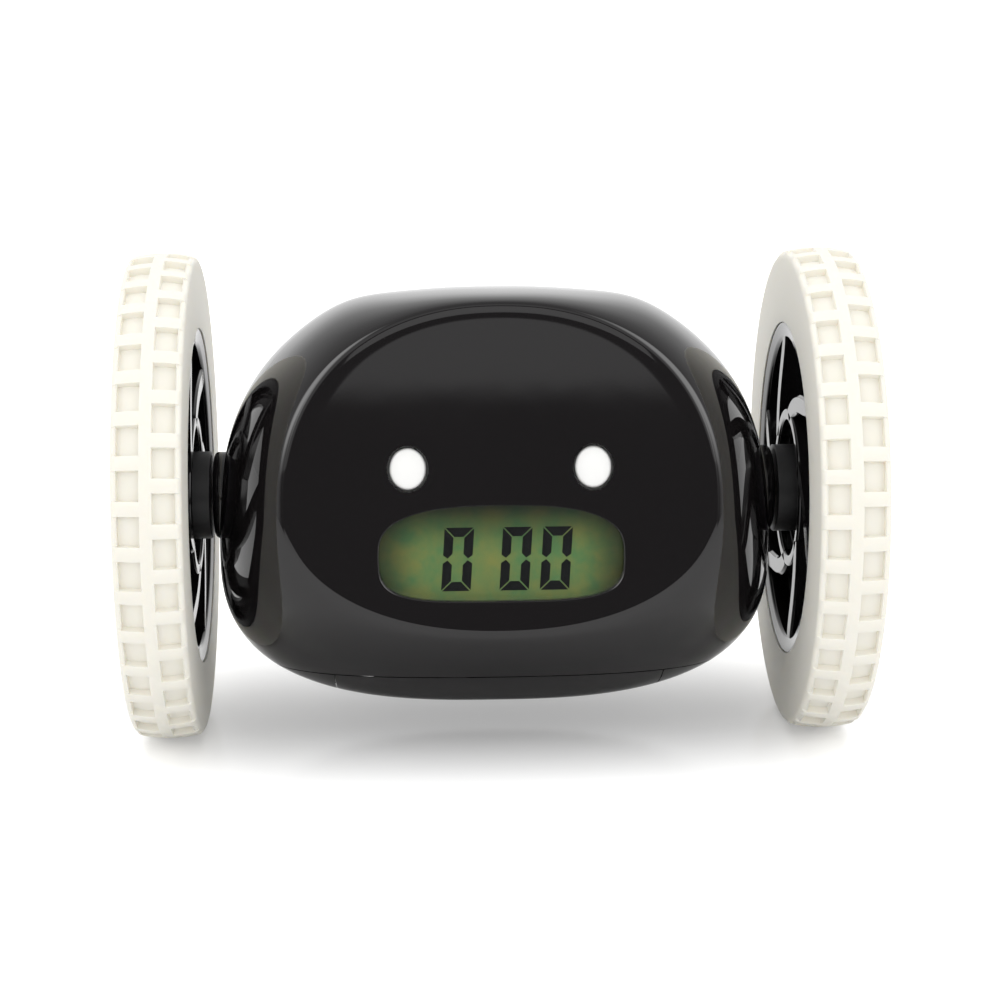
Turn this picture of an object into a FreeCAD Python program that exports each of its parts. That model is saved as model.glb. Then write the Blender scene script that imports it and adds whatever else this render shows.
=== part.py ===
import FreeCAD, Part
import math
import os
import re
import Sketcher
from FreeCAD import Placement, Rotation, Vector

# Runaway alarm clock: an ovoid clock body slung between two large wheels.
# Row frame: X along the axle, front of the clock towards -Y, Z up, floor at Z = 0.
# The clock's own pieces are drawn about the middle of the axle line and then
# tipped back by bodyTilt, the angle at which the body hangs on its two wheels.

doc = FreeCAD.newDocument("RunawayAlarmClock")

# ---------------------------------------------------------------- sizes (mm, degrees)
sizeTable = [
    # wheels
    ("wheelRadius", 44.5), ("tyreWidth", 12.0), ("wheelInset", 53.8), ("tyreBore", 30.75),
    ("treadDepth", 1.3), ("treadBlocks", 36), ("pocketWidth", 3.65), ("pocketShare", 0.68),
    ("treadRib", 2.2), ("crownDrop", 0.7), ("crownRun", 3.6), ("shoulderDepth", 2.0),
    ("shoulderRun", 0.8), ("beadHeight", 1.2), ("beadWidth", 5.0), ("tyreFit", 0.08),
    ("rimWall", 1.5), ("lipDepth", 1.2), ("lipSlope", 1.85), ("webDepth", 5.2),
    ("webThickness", 2.0), ("hubRadius", 8.05), ("hubReach", 2.0), ("hubRingInner", 12.6),
    ("hubRingOuter", 14.7), ("spokeCount", 6), ("spokeWidth", 5.6), ("spokeHeight", 2.1),
    ("spokeStart", 33.0), ("spokeSweep", 44.0), ("spokeEarly", 0.67), ("capRadius", 7.0),
    ("capHeight", 2.2),
    # clock body, measured from the axle line
    ("bodyTilt", 9.0), ("bodyHalfWidth", 50.6), ("bodyTop", 37.5), ("bodyBottom", 38.0),
    ("bodyWidest", -9.5), ("crownExponent", 2.65), ("bellyExponent", 2.5),
    ("faceHalfWidth", 37.5), ("faceTop", 34.6), ("faceBottom", 22.2), ("faceWidest", 0.6),
    ("faceExponent", 2.2), ("faceDepth", 34.5), ("rearHalfWidth", 24.0), ("rearTop", 20.0),
    ("rearBottom", 16.0), ("rearWidest", -3.0), ("rearDepth", 36.0), ("edgeExponent", 2.2),
    ("shellWall", 2.0), ("seamHeight", -30.0), ("seamGap", 0.2), ("browDepth", 0.4),
    ("browStart", 8.0), ("browInset", 0.7),
    # display
    ("windowHalfWidth", 21.05), ("windowHalfHeight", 8.2), ("windowHeight", -8.4),
    ("windowUpper", 3.3), ("windowLower", 4.5), ("windowBevel", 0.8), ("lensWidth", 45.0),
    ("lensHeight", 17.6), ("lensThickness", 1.0), ("glassThickness", 2.8),
    ("lightThickness", 3.0), ("stackGap", 0.1), ("frameWall", 1.0), ("frameSetback", 0.6),
    ("boardClear", 1.8),
    # eye buttons
    ("eyeSpacing", 31.9), ("eyeHeight", 6.3), ("eyeWidth", 6.35), ("eyeTall", 7.25),
    ("eyeGap", 0.4), ("eyeRecess", 0.3), ("eyeDome", 0.5), ("flangeReach", 0.9),
    ("flangeThickness", 1.0), ("eyeTravel", 0.6), ("stemRadius", 1.5),
    # boards and switches
    ("boardThickness", 1.6), ("boardHalfWidth", 30.5), ("boardTop", 14.0),
    ("boardBottom", -19.0), ("switchSide", 6.0), ("switchHeight", 2.4), ("plungerHeight", 0.8),
    ("plungerRadius", 1.7), ("standoffRadius", 2.4), ("boardScrewRadius", 1.0),
    ("screwHeadRadius", 1.9), ("screwHeadHeight", 1.2), ("standoffInset", 3.0),
    # rear buttons and speaker
    ("keyRadius", 3.4), ("keyPitch", 9.5), ("keyHeight", 11.0), ("keyProud", 0.6),
    ("keyGap", 0.25), ("keyTravel", 0.6), ("keyBoardHalfWidth", 24.5), ("keyBoardTall", 9.6),
    ("speakerRadius", 13.0), ("speakerHeight", -6.0), ("speakerFlange", 1.2),
    ("basketRadius", 10.6), ("basketDepth", 3.6), ("magnetRadius", 7.0), ("magnetDepth", 3.2),
    ("grilleRadius", 9.6), ("slotWidth", 1.3), ("slotPitch", 2.7), ("slotCount", 7),
    # shell screws and posts
    ("upperPostX", 27.0), ("upperPostZ", 23.0), ("lowerPostX", 34.6), ("lowerPostZ", -18.5),
    ("postRadius", 3.4), ("shellScrewRadius", 1.25), ("shellHeadRadius", 2.5),
    ("shellHeadHeight", 1.8), ("screwSeat", 14.0), ("screwReach", 11.0),
    # drive
    ("axleRadius", 1.5), ("axleShort", 0.6), ("axleBreak", 0.2), ("axleInner", 21.0),
    ("runningFit", 0.05), ("pressGap", 0.01), ("collarRadius", 8.0), ("collarEnd", 51.4),
    ("bushRadius", 4.0), ("bushFit", 0.02), ("bushInset", 0.2), ("caseNear", 22.0),
    ("caseFar", 38.0), ("caseWall", 1.4), ("gearModule", 0.6), ("pinionTeeth", 9),
    ("wheelTeeth", 36), ("toothThin", 0.26), ("gearFace", 2.6), ("gearBacking", 0.5),
    ("trainAngle", 20.0), ("motorAngle", -100.0), ("arborRadius", 1.0), ("arborInset", 0.4),
    ("gearHub", 3.0), ("motorRadius", 7.75), ("motorFlat", 6.0), ("motorLength", 20.0),
    ("motorShaft", 1.0), ("tipGap", 0.8),
    # batteries
    ("cellRadius", 5.25), ("cellLength", 44.5), ("cellPitch", 11.0), ("cellRows", 4),
    ("cellHeight", -25.0), ("cellCentre", 1.5), ("cellNubRadius", 1.9), ("cellNubHeight", 0.8),
    ("contactGap", 2.6), ("contactThickness", 0.5), ("contactTouch", 0.05), ("contactArm", 1.2),
    ("springWire", 0.45), ("springRadius", 2.6), ("boxWall", 1.2), ("boxGap", 0.3),
    ("footReach", 33.0), ("footTop", -28.6), ("footInset", 9.0),
    # battery door
    ("doorHalfWidth", 29.2), ("doorRear", 26.0), ("hookInner", 5.4), ("hookOuter", 6.6),
    ("hookNear", 6.0), ("hookFar", 10.0), ("hookLift", 60.0), ("hookRoot", -35.0),
    ("gripRadius", 2.2), ("gripDepth", 0.6), ("gripInset", 2.0), ("gripWidth", 5.0),
    # clearances of screws and holes
    ("headEase", 0.3), ("shankEase", 0.2), ("pilotBite", 0.1), ("threadRelief", 0.12),
    ("boardHoleEase", 0.15),
]

sheet = doc.addObject("Spreadsheet::Sheet", "Sizes")
for row, (alias, amount) in enumerate(sizeTable, start=1):
    sheet.set("A%d" % row, alias)
    sheet.set("B%d" % row, str(amount))
    sheet.setAlias("B%d" % row, alias)
doc.recompute()
aliases = {alias for alias, amount in sizeTable}
nodes = []


def size(expression):
    """Value of an expression of sheet aliases."""
    return float(sheet.evalExpression(str(expression)))


def bound(expression):
    """The same expression as other objects write it, with the sheet's name."""
    def prefix(match):
        word = match.group(0)
        return "Sizes." + word if word in aliases else word
    return re.sub(r"[A-Za-z]+", prefix, str(expression))


axleHeight = size("wheelRadius")
hung = Placement(Vector(0, 0, axleHeight), Rotation(Vector(1, 0, 0), -size("bodyTilt")))


def facing(side):
    """Turn that points +X away from the clock on either side."""
    return Placement(Vector(), Rotation(Vector(0, 0, 1), 0 if side > 0 else 180))


def wheelPlace(side):
    """Frame of a wheel: its own +X points away from the clock."""
    return Placement(Vector(0, 0, axleHeight), Rotation()) * facing(side)


def keep(thing, label, place=None):
    """Label a finished sub-part, set where it stands and list it for export."""
    thing.Label = label
    if place is not None:
        thing.Placement = place
    nodes.append(thing)
    return thing


# ---------------------------------------------------------------- drawing helpers
def originPlane(body, role):
    return [f for f in body.Origin.OriginFeatures if f.Role == role][0]


def newSketch(body, role, name):
    sketch = body.newObject("Sketcher::SketchObject", name)
    sketch.AttachmentSupport = [(originPlane(body, role), "")]
    sketch.MapMode = "FlatFace"
    return sketch


def polygon(sketch, corners):
    """Closed outline; each corner is a pair of expressions measured from the origin."""
    values = [(size(a), size(b)) for a, b in corners]
    first = sketch.GeometryCount
    count = len(corners)
    for i in range(count):
        start, end = values[i], values[(i + 1) % count]
        sketch.addGeometry(Part.LineSegment(Vector(*start, 0), Vector(*end, 0)), False)
    for i in range(count):
        following = first + (i + 1) % count
        sketch.addConstraint(Sketcher.Constraint("Coincident", first + i, 2, following, 1))
    for i, pair in enumerate(corners):
        for kind, expression, amount in zip(("DistanceX", "DistanceY"), pair, values[i]):
            rule = Sketcher.Constraint(kind, -1, 1, first + i, 1, amount)
            number = sketch.addConstraint(rule)
            sketch.setExpression("Constraints[%d]" % number, bound(expression))


def turned(name, corners):
    """Body turned about the X axis; corners are (x, radius) pairs."""
    body = doc.addObject("PartDesign::Body", name)
    sketch = newSketch(body, "XZ_Plane", name + "Profile")
    polygon(sketch, corners)
    turn = body.newObject("PartDesign::Revolution", name + "Turn")
    turn.Profile = sketch
    turn.ReferenceAxis = (sketch, ["H_Axis"])
    turn.Angle = 360
    return body


def box(name, low, high):
    """Box between two corners given as expressions."""
    block = doc.addObject("Part::Box", name)
    for prop, a, b in zip(("Length", "Width", "Height"), low, high):
        block.setExpression(prop, bound("(%s) - (%s)" % (b, a)))
    block.Placement = Placement(Vector(*[size(a) for a in low]), Rotation())
    return block


def plate(name, halfWidth, low, high, holes):
    """Board lying in X and Z with screw holes, padded by its thickness along +Y."""
    body = doc.addObject("PartDesign::Body", name)
    sketch = newSketch(body, "XZ_Plane", name + "Outline")
    left = "-(%s)" % halfWidth
    polygon(sketch, [(left, low), (halfWidth, low), (halfWidth, high), (left, high)])
    radius = "boardScrewRadius + boardHoleEase"
    for x, z in holes:
        circle = Part.Circle(Vector(size(x), size(z), 0), Vector(0, 0, 1), size(radius))
        hole = sketch.addGeometry(circle, False)
        centre = (-1, 1, hole, 3)
        rules = [("DistanceX", centre, x), ("DistanceY", centre, z), ("Radius", (hole,), radius)]
        for kind, places, expression in rules:
            number = sketch.addConstraint(Sketcher.Constraint(kind, *places, size(expression)))
            sketch.setExpression("Constraints[%d]" % number, bound(expression))
    pad = body.newObject("PartDesign::Pad", name + "Pad")
    pad.Profile = sketch
    pad.setExpression("Length", bound("boardThickness"))
    pad.Reversed = True
    return body


def joined(name, pieces):
    fuse = doc.addObject("Part::MultiFuse", name)
    fuse.Shapes = pieces
    return fuse


def lessen(name, base, tool):
    cut = doc.addObject("Part::Cut", name)
    cut.Base = base
    cut.Tool = tool
    return cut


def formed(label, shape, place=None):
    """Free-form piece made with Part's own functions."""
    feature = doc.addObject("Part::Feature", label)
    feature.Shape = shape
    return keep(feature, label, place)


# ---------------------------------------------------------------- free-form outlines
def power(amount, exponent):
    return math.copysign(abs(amount) ** exponent, amount)


def outlinePoints(width, top, bottom, widest, upper, lower, count=28):
    """Rounded outline in X and Z: a superellipse with its own upper and lower half."""
    points = []
    for i in range(count):
        angle = 2 * math.pi * (i + 0.5) / count
        bulge, reach = (upper, top - widest) if math.sin(angle) > 0 else (lower, bottom + widest)
        x = width * power(math.cos(angle), 2 / bulge)
        z = widest + reach * power(math.sin(angle), 2 / bulge)
        points.append((x, z))
    return points


def ringWire(points, y):
    curve = Part.BSplineCurve()
    curve.interpolate(Points=[Vector(x, y, z) for x, z in points], PeriodicFlag=True)
    return Part.Wire(curve.toShape())


def girth(inset):
    """Largest section of the body, drawn in by an inset."""
    return [size("bodyHalfWidth") - inset, size("bodyTop") - inset, size("bodyBottom") - inset,
            size("bodyWidest"), size("crownExponent"), size("bellyExponent")]


def faceForm(inset):
    bulge = size("faceExponent")
    return [size("faceHalfWidth") - inset, size("faceTop") - inset, size("faceBottom") - inset,
            size("faceWidest"), bulge, bulge]


def rearForm(inset):
    bulge = size("edgeExponent")
    return [size("rearHalfWidth") - inset, size("rearTop") - inset, size("rearBottom") - inset,
            size("rearWidest"), bulge, bulge]


def bodySolid(inset):
    """The ovoid: flat face and flat back joined to the girth by rounded flanks."""
    steps = 6
    bulge = size("edgeExponent")
    middle = girth(inset)
    sections = []
    ends = ((faceForm(inset), -(size("faceDepth") - inset)), (rearForm(inset), size("rearDepth") - inset))
    for end, depth in ends:
        half = []
        for i in range(steps + 1):
            angle = math.pi / 2 * i / steps
            blend = power(math.cos(angle), 2 / bulge) if i < steps else 0.0
            y = depth * power(math.sin(angle), 2 / bulge)
            form = [e + (m - e) * blend for e, m in zip(end, middle)]
            half.append(ringWire(outlinePoints(*form), y))
        sections.append(half)
    wires = sections[0][::-1] + sections[1][1:]
    return Part.makeLoft(wires, True, False)


def prismY(points, y, depth):
    """Straight prism along Y from an outline."""
    face = Part.Face(ringWire(points, y))
    return face.extrude(Vector(0, depth, 0))


def roundY(radius, x, z, start, end):
    return Part.makeCylinder(radius, end - start, Vector(x, start, z), Vector(0, 1, 0))


def roundX(radius, y, z, start, end):
    return Part.makeCylinder(radius, end - start, Vector(start, y, z), Vector(1, 0, 0))


def block(low, high):
    return Part.makeBox(high[0] - low[0], high[1] - low[1], high[2] - low[2], Vector(*low))


def mirrored(side, near, far):
    """X range on one side of the clock."""
    return (near, far) if side > 0 else (-far, -near)


far = 80.0  # beyond every surface of the clock
wall = size("shellWall")
outer = bodySolid(0.0)
inner = bodySolid(wall)
skin = outer.cut(inner)
posts = [(sx * size(level + "PostX"), size(level + "PostZ")) for level in ("upper", "lower")
         for sx in (-1, 1)]
standoffs = [(sx * size("boardHalfWidth - standoffInset"), size(z)) for sx in (-1, 1)
             for z in ("boardTop - standoffInset", "boardBottom + standoffInset")]
faceInside = -(size("faceDepth") - wall)
rearInside = size("rearDepth") - wall


def windowOutline(grow):
    return outlinePoints(size("windowHalfWidth") + grow, size("windowHeight + windowHalfHeight") + grow,
                         -size("windowHeight - windowHalfHeight") + grow, size("windowHeight"),
                         size("windowUpper"), size("windowLower"))


def windowCut():
    """Mouth-shaped opening with a bevel round its front edge."""
    front = -size("faceDepth")
    bevel = size("windowBevel")
    straight = prismY(windowOutline(0.0), front - bevel, far)
    common = straight.common(block((-far, front - bevel, -far), (far, faceInside + bevel, far)))
    mouths = [ringWire(windowOutline(bevel), front), ringWire(windowOutline(0.0), front + bevel)]
    flare = Part.makeLoft(mouths, True, False)
    mouth = prismY(windowOutline(bevel), front - bevel, bevel)
    return common.fuse([flare, mouth])


def eyeOval(grow):
    wide = size("eyeWidth") / 2 + grow
    tall = size("eyeTall") / 2 + grow
    return wide, tall


def ovalPrism(x, z, grow, start, end):
    wide, tall = eyeOval(grow)
    ellipse = Part.Ellipse(Vector(x, start, z + tall), Vector(x + wide, start, z), Vector(x, start, z))
    face = Part.Face(Part.Wire(ellipse.toShape()))
    return face.extrude(Vector(0, end - start, 0))


def eyePlaces():
    return [(sx * size("eyeSpacing") / 2, size("eyeHeight")) for sx in (-1, 1)]


def browCut():
    """Shallow step under the brow: the face falls back towards its top edge."""
    front = -size("faceDepth")
    start, top = size("browStart"), size("faceTop")
    profile = [Vector(-far, front - 5, start), Vector(-far, front, start),
               Vector(-far, front + size("browDepth"), top), Vector(-far, front - 5, top)]
    wedge = Part.Face(Part.makePolygon(profile + profile[:1])).extrude(Vector(2 * far, 0, 0))
    return wedge.common(prismY(outlinePoints(*faceForm(size("browInset"))), front - 4, 8))


def collars(side):
    near, end = size("caseFar + bushInset"), size("collarEnd")
    low, high = mirrored(side, near, end)
    return roundX(size("collarRadius"), 0, 0, low, high)


def collarBore(side):
    low, high = mirrored(side, size("caseFar") - 1, size("collarEnd") + 1)
    return roundX(size("bushRadius + bushFit"), 0, 0, low, high)


# ---------------------------------------------------------------- front shell
def makeFrontShell():
    gap = size("seamGap") / 2
    seam = size("seamHeight")
    half = block((-far, -far, seam + gap), (far, -gap, far))
    additions = [roundY(size("postRadius"), x, z, faceInside - wall, -gap).common(outer) for x, z in posts]
    boardFace = faceInside + boardStack()
    additions += [roundY(size("standoffRadius"), x, z, faceInside - wall / 2, boardFace)
                  for x, z in standoffs]
    additions += [collars(side) for side in (-1, 1)]
    shape = skin.fuse(additions).common(half)
    cuts = [collarBore(side) for side in (-1, 1)]
    pilot, boardPilot = size("shellScrewRadius - pilotBite"), size("boardScrewRadius - pilotBite")
    cuts += [roundY(pilot, x, z, -size("screwReach + 1"), 1) for x, z in posts]
    cuts += [roundY(boardPilot, x, z, boardFace - 5, boardFace + 1) for x, z in standoffs]
    cuts += [ovalPrism(x, z, size("eyeGap"), -far, faceInside + 1) for x, z in eyePlaces()]
    cuts += [windowCut(), browCut()]
    shape = shape.cut(cuts)
    formed("front_shell", shape, hung)


stackDepth = "lensThickness + glassThickness + lightThickness + 4*stackGap + boardClear"


def boardStack():
    """Distance from the inside of the face to the front of the main board."""
    return size(stackDepth)


# ---------------------------------------------------------------- rear shell
def makeRearShell():
    gap = size("seamGap") / 2
    seam = size("seamHeight")
    rearHalf = block((-far, gap, -far), (far, far, far))
    belly = block((-far, -far, -far), (far, gap + 1, seam - gap))
    additions = [roundY(size("postRadius"), x, z, gap, rearInside + wall).common(outer) for x, z in posts]
    boardFace = rearInside - keyStack()
    additions += [roundY(size("standoffRadius"), x, z, boardFace, rearInside + wall / 2).common(outer)
                  for x, z in keyStandoffs()]
    additions += [collars(side) for side in (-1, 1)]
    z = size("speakerHeight")
    seatRing = roundY(size("speakerRadius"), 0, z, speakerFace() + size("stackGap"), rearInside + 0.5)
    seatRing = seatRing.cut(roundY(size("grilleRadius") + 0.8, 0, z, 0, far))
    additions.append(seatRing.common(outer))
    shape = skin.fuse(additions).common(rearHalf.fuse(belly))
    cuts = [collarBore(side) for side in (-1, 1)]
    head = size("shellHeadRadius + headEase")
    cuts += [roundY(size("shellScrewRadius + shankEase"), x, z, -1, far) for x, z in posts]
    cuts += [roundY(head, x, z, size("screwSeat"), far) for x, z in posts]
    pilot = size("boardScrewRadius - pilotBite")
    cuts += [roundY(pilot, x, z, boardFace - 1, boardFace + 3.5) for x, z in keyStandoffs()]
    hole, z = size("keyRadius + keyGap"), size("keyHeight")
    cuts += [roundY(hole, x, z, rearInside - 1, far) for x in keyPlaces()]
    cuts += grilleSlots()
    door = size("doorHalfWidth") + size("seamGap")
    cuts.append(block((-door, -far, -far), (door, size("doorRear + seamGap"), seam + 0.5)))
    shape = shape.cut(cuts)
    formed("rear_shell", shape, hung)


def grilleSlots():
    """Vertical sound slots, each as long as the round grille is tall there."""
    slots = []
    count = int(size("slotCount"))
    for i in range(count):
        x = (i - (count - 1) / 2) * size("slotPitch")
        rise = math.sqrt(size("grilleRadius") ** 2 - x ** 2) - size("slotWidth") / 2
        half = size("slotWidth") / 2
        centre = size("speakerHeight")
        slot = block((x - half, rearInside - 1, centre - rise), (x + half, far, centre + rise))
        ends = [roundY(half, x, centre + s * rise, rearInside - 1, far) for s in (-1, 1)]
        slots.append(slot.fuse(ends))
    return slots


def makeBatteryDoor():
    gap = size("seamGap") / 2
    half = size("doorHalfWidth")
    panel = block((-half, -far, -far), (half, size("doorRear"), size("seamHeight") - gap))
    door = skin.common(panel)
    door = door.fuse([doorHook(side) for side in (-1, 1)])
    gripEnd = size("doorRear - gripInset")
    grip = roundY(size("gripRadius"), 0, size("-bodyBottom - gripRadius + gripDepth"),
                  gripEnd - size("gripWidth"), gripEnd)
    formed("battery_door", door.cut(grip), hung)


def hingeDepth():
    """Distance in front of the axle line of the body's surface where the door's front edge is."""
    bulge = size("edgeExponent")
    share = size("(-seamHeight - faceBottom) / (bodyBottom - faceBottom)")
    return size("faceDepth") * (1 - share ** bulge) ** (1 / bulge)


def doorHook(side):
    """Curved hook round the door's hinge line, which runs along its front edge."""
    low, high = mirrored(side, size("hookNear"), size("hookFar"))
    y, z = -hingeDepth(), size("seamHeight")
    ring = roundX(size("hookOuter"), y, z, low, high)
    ring = ring.cut(roundX(size("hookInner"), y, z, low - 1, high + 1))
    reach = 2 * size("hookOuter")
    edges = [math.radians(size(name)) for name in ("hookRoot", "hookLift")]
    corners = [Vector(low, y, z)]
    corners += [Vector(low, y + reach * math.cos(a), z + reach * math.sin(a)) for a in edges]
    wedge = Part.Face(Part.makePolygon(corners + corners[:1])).extrude(Vector(high - low, 0, 0))
    return ring.common([wedge]).common(bodySolid(wall / 2))


# ---------------------------------------------------------------- display
def makeDisplay():
    gap = "stackGap"
    half = "lensWidth/2"
    low = "windowHeight - lensHeight/2"
    high = "windowHeight + lensHeight/2"
    y = "shellWall - faceDepth + %s" % gap
    for label, thickness in (("lcd_lens", "lensThickness"), ("lcd_glass", "glassThickness"),
                             ("lcd_backlight", "lightThickness")):
        plate = box(label, ("-" + half, y, low), (half, "%s + %s" % (y, thickness), high))
        keep(plate, label, hung * plate.Placement)
        y = "%s + %s + %s" % (y, thickness, gap)
    frameBack = "shellWall - faceDepth + %s - %s" % (stackDepth, gap)
    rim = "frameWall + stackGap"
    frameFront = "shellWall - faceDepth + frameSetback"
    outside = box("FrameOutside", ("-%s - %s" % (half, rim), frameFront, "%s - (%s)" % (low, rim)),
                  ("%s + %s" % (half, rim), frameBack, "%s + %s" % (high, rim)))
    inside = box("FrameInside", ("-%s - %s" % (half, gap), "-faceDepth", "%s - %s" % (low, gap)),
                 ("%s + %s" % (half, gap), "0", "%s + %s" % (high, gap)))
    keep(lessen("LcdFrame", outside, inside), "lcd_frame", hung)


# ---------------------------------------------------------------- boards, buttons, switches
def screwsY(places, start, direction, radius, reach, headRadius, headHeight):
    """Pan-head screws along Y, their shanks pointing the way of direction."""
    solids = []
    for x, z in places:
        ends = sorted((start, start + direction * reach))
        shank = roundY(radius, x, z, *ends)
        ends = sorted((start, start - direction * headHeight))
        head = roundY(headRadius, x, z, *ends)
        solids.append(shank.fuse(head).removeSplitter())
    return solids


def makeMainBoard():
    front = faceInside + boardStack()
    inset = "standoffInset"
    places = [("%d*(boardHalfWidth - %s)" % (sx, inset), z) for sx in (-1, 1)
              for z in ("boardTop - " + inset, "boardBottom + " + inset)]
    board = plate("MainBoard", "boardHalfWidth", "boardBottom", "boardTop", places)
    keep(board, "main_board", hung * Placement(Vector(0, front, 0), Rotation()))
    back = front + size("boardThickness")
    screws = screwsY(standoffs, back, -1, size("boardScrewRadius - threadRelief"),
                     size("boardThickness") + 4, size("screwHeadRadius"), size("screwHeadHeight"))
    formed("board_screws", Part.makeCompound(screws), hung)
    formed("eye_switches", Part.makeCompound([tactSwitch(x, z, front, -1) for x, z in eyePlaces()]), hung)


def tactSwitch(x, z, face, direction):
    """Square push switch standing on a board face."""
    side = size("switchSide") / 2
    ends = sorted((face, face + direction * size("switchHeight")))
    base = block((x - side, ends[0], z - side), (x + side, ends[1], z + side))
    ends = sorted((face, face + direction * size("switchHeight + plungerHeight")))
    return base.fuse(roundY(size("plungerRadius"), x, z, *ends)).removeSplitter()


def makeEyeButtons():
    front = -size("faceDepth") + size("eyeRecess")
    plunger = faceInside + boardStack() - size("switchHeight + plungerHeight")
    stemEnd = plunger - size("eyeTravel") - 0.1
    for (x, z), label in zip(eyePlaces(), ("hour_button", "minute_button")):
        cap = ovalPrism(x, z, 0.0, front, faceInside + 0.5)
        edges = [e for e in cap.Edges if abs(e.CenterOfMass.y - front) < 0.01]
        cap = cap.makeFillet(size("eyeDome"), edges)
        flangeStart = faceInside + 0.1
        flange = ovalPrism(x, z, size("flangeReach"), flangeStart, flangeStart + size("flangeThickness"))
        stem = roundY(size("stemRadius"), x, z, flangeStart, stemEnd)
        formed(label, cap.fuse([flange, stem]).removeSplitter(), hung)


def keyPlaces():
    return [(i - 1.5) * size("keyPitch") for i in range(4)]


def keyStack():
    """Distance from the inside of the back wall to the key board."""
    return size("flangeThickness + keyTravel + switchHeight + plungerHeight + 0.4")


def keyStandoffs():
    z = size("keyHeight")
    return [(sx * size("keyBoardHalfWidth - standoffInset"), z) for sx in (-1, 1)]


def makeRearKeys():
    top = size("rearDepth + keyProud")
    boardFace = rearInside - keyStack()
    stemEnd = boardFace + size("switchHeight + plungerHeight + keyTravel") + 0.1
    z = size("keyHeight")
    for x, label in zip(keyPlaces(), ("clock_button", "alarm_button", "wheels_button", "snooze_button")):
        flangeEnd = rearInside - 0.1
        cap = roundY(size("keyRadius"), x, z, flangeEnd, top)
        edges = [e for e in cap.Edges if abs(e.CenterOfMass.y - top) < 0.01]
        cap = cap.makeFillet(0.5, edges)
        flangeStart = flangeEnd - size("flangeThickness")
        flange = roundY(size("keyRadius + flangeReach"), x, z, flangeStart, flangeEnd)
        stem = roundY(size("stemRadius"), x, z, stemEnd, flangeEnd)
        formed(label, cap.fuse([flange, stem]).removeSplitter(), hung)
    places = [("%d*(keyBoardHalfWidth - standoffInset)" % sx, "keyHeight") for sx in (-1, 1)]
    low, high = "keyHeight - keyBoardTall/2", "keyHeight + keyBoardTall/2"
    board = plate("KeyBoard", "keyBoardHalfWidth", low, high, places)
    boardBack = boardFace - size("boardThickness")
    keep(board, "key_board", hung * Placement(Vector(0, boardBack, 0), Rotation()))
    formed("key_switches", Part.makeCompound([tactSwitch(x, z, boardFace, 1) for x in keyPlaces()]), hung)
    screws = screwsY(keyStandoffs(), boardBack, 1, size("boardScrewRadius - threadRelief"),
                     size("boardThickness") + 3, size("screwHeadRadius"), size("screwHeadHeight"))
    formed("key_board_screws", Part.makeCompound(screws), hung)


def speakerFace():
    return rearInside - 1.9


def makeSpeaker():
    face = speakerFace()
    z = size("speakerHeight")
    flangeBack = face - size("speakerFlange")
    basketBack = flangeBack - size("basketDepth")
    flange = roundY(size("speakerRadius"), 0, z, flangeBack, face)
    basket = Part.makeCone(size("magnetRadius"), size("basketRadius"), size("basketDepth"),
                           Vector(0, basketBack, z), Vector(0, 1, 0))
    magnet = roundY(size("magnetRadius"), 0, z, basketBack - size("magnetDepth"), basketBack)
    dish = Part.makeCone(2.5, size("grilleRadius"), 1.6, Vector(0, face - 1.5, z), Vector(0, 1, 0))
    formed("speaker", flange.fuse([basket, magnet]).cut(dish).removeSplitter(), hung)


def makeShellScrews():
    screws = screwsY(posts, size("screwSeat"), -1, size("shellScrewRadius - threadRelief"),
                     size("screwSeat + screwReach"), size("shellHeadRadius"), size("shellHeadHeight"))
    formed("shell_screws", Part.makeCompound(screws), hung)


# ---------------------------------------------------------------- batteries
def cellPlaces():
    rows = int(size("cellRows"))
    return [size("cellCentre") + (i - (rows - 1) / 2) * size("cellPitch") for i in range(rows)]


def makeBatteries():
    z = size("cellHeight")
    half = size("cellLength") / 2
    cells, springs, plates = [], [], []
    for i, y in enumerate(cellPlaces()):
        way = 1 if i % 2 else -1
        ends = sorted((-way * half, way * (half - size("cellNubHeight"))))
        body = roundX(size("cellRadius"), y, z, *ends)
        tip = roundX(size("cellNubRadius"), y, z, *sorted((0, way * half)))
        cells.append(body.fuse(tip).removeSplitter())
        wallX = half + size("contactGap")
        start = half + size("contactTouch")
        edges = sorted((way * start, way * (start + size("contactThickness"))))
        pad = roundX(size("cellRadius - contactArm"), y, z, *edges)
        arm = roundX(size("contactArm"), y, z, *sorted((way * start, way * wallX)))
        plates.append(pad.fuse(arm).removeSplitter())
        springs.append(contactSpring(y, z, -way, start, wallX))
    formed("aaa_cells", Part.makeCompound(cells), hung)
    formed("contact_plates", Part.makeCompound(plates), hung)
    formed("contact_springs", Part.makeCompound(springs), hung)


def contactSpring(y, z, way, near, end):
    """Cell spring drawn as stacked rings of falling radius on a centre post."""
    wire = size("springWire")
    turns = 3
    pitch = (end - near - 2 * wire) / (turns - 1)
    parts = [roundX(wire, y, z, *sorted((way * near, way * end)))]
    for i in range(turns):
        radius = size("springRadius") + 0.7 * i
        x = way * (near + wire + i * pitch)
        disc = roundX(radius, y, z, x - wire, x + wire)
        parts.append(disc)
    return parts[0].fuse(parts[1:]).removeSplitter()


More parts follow.
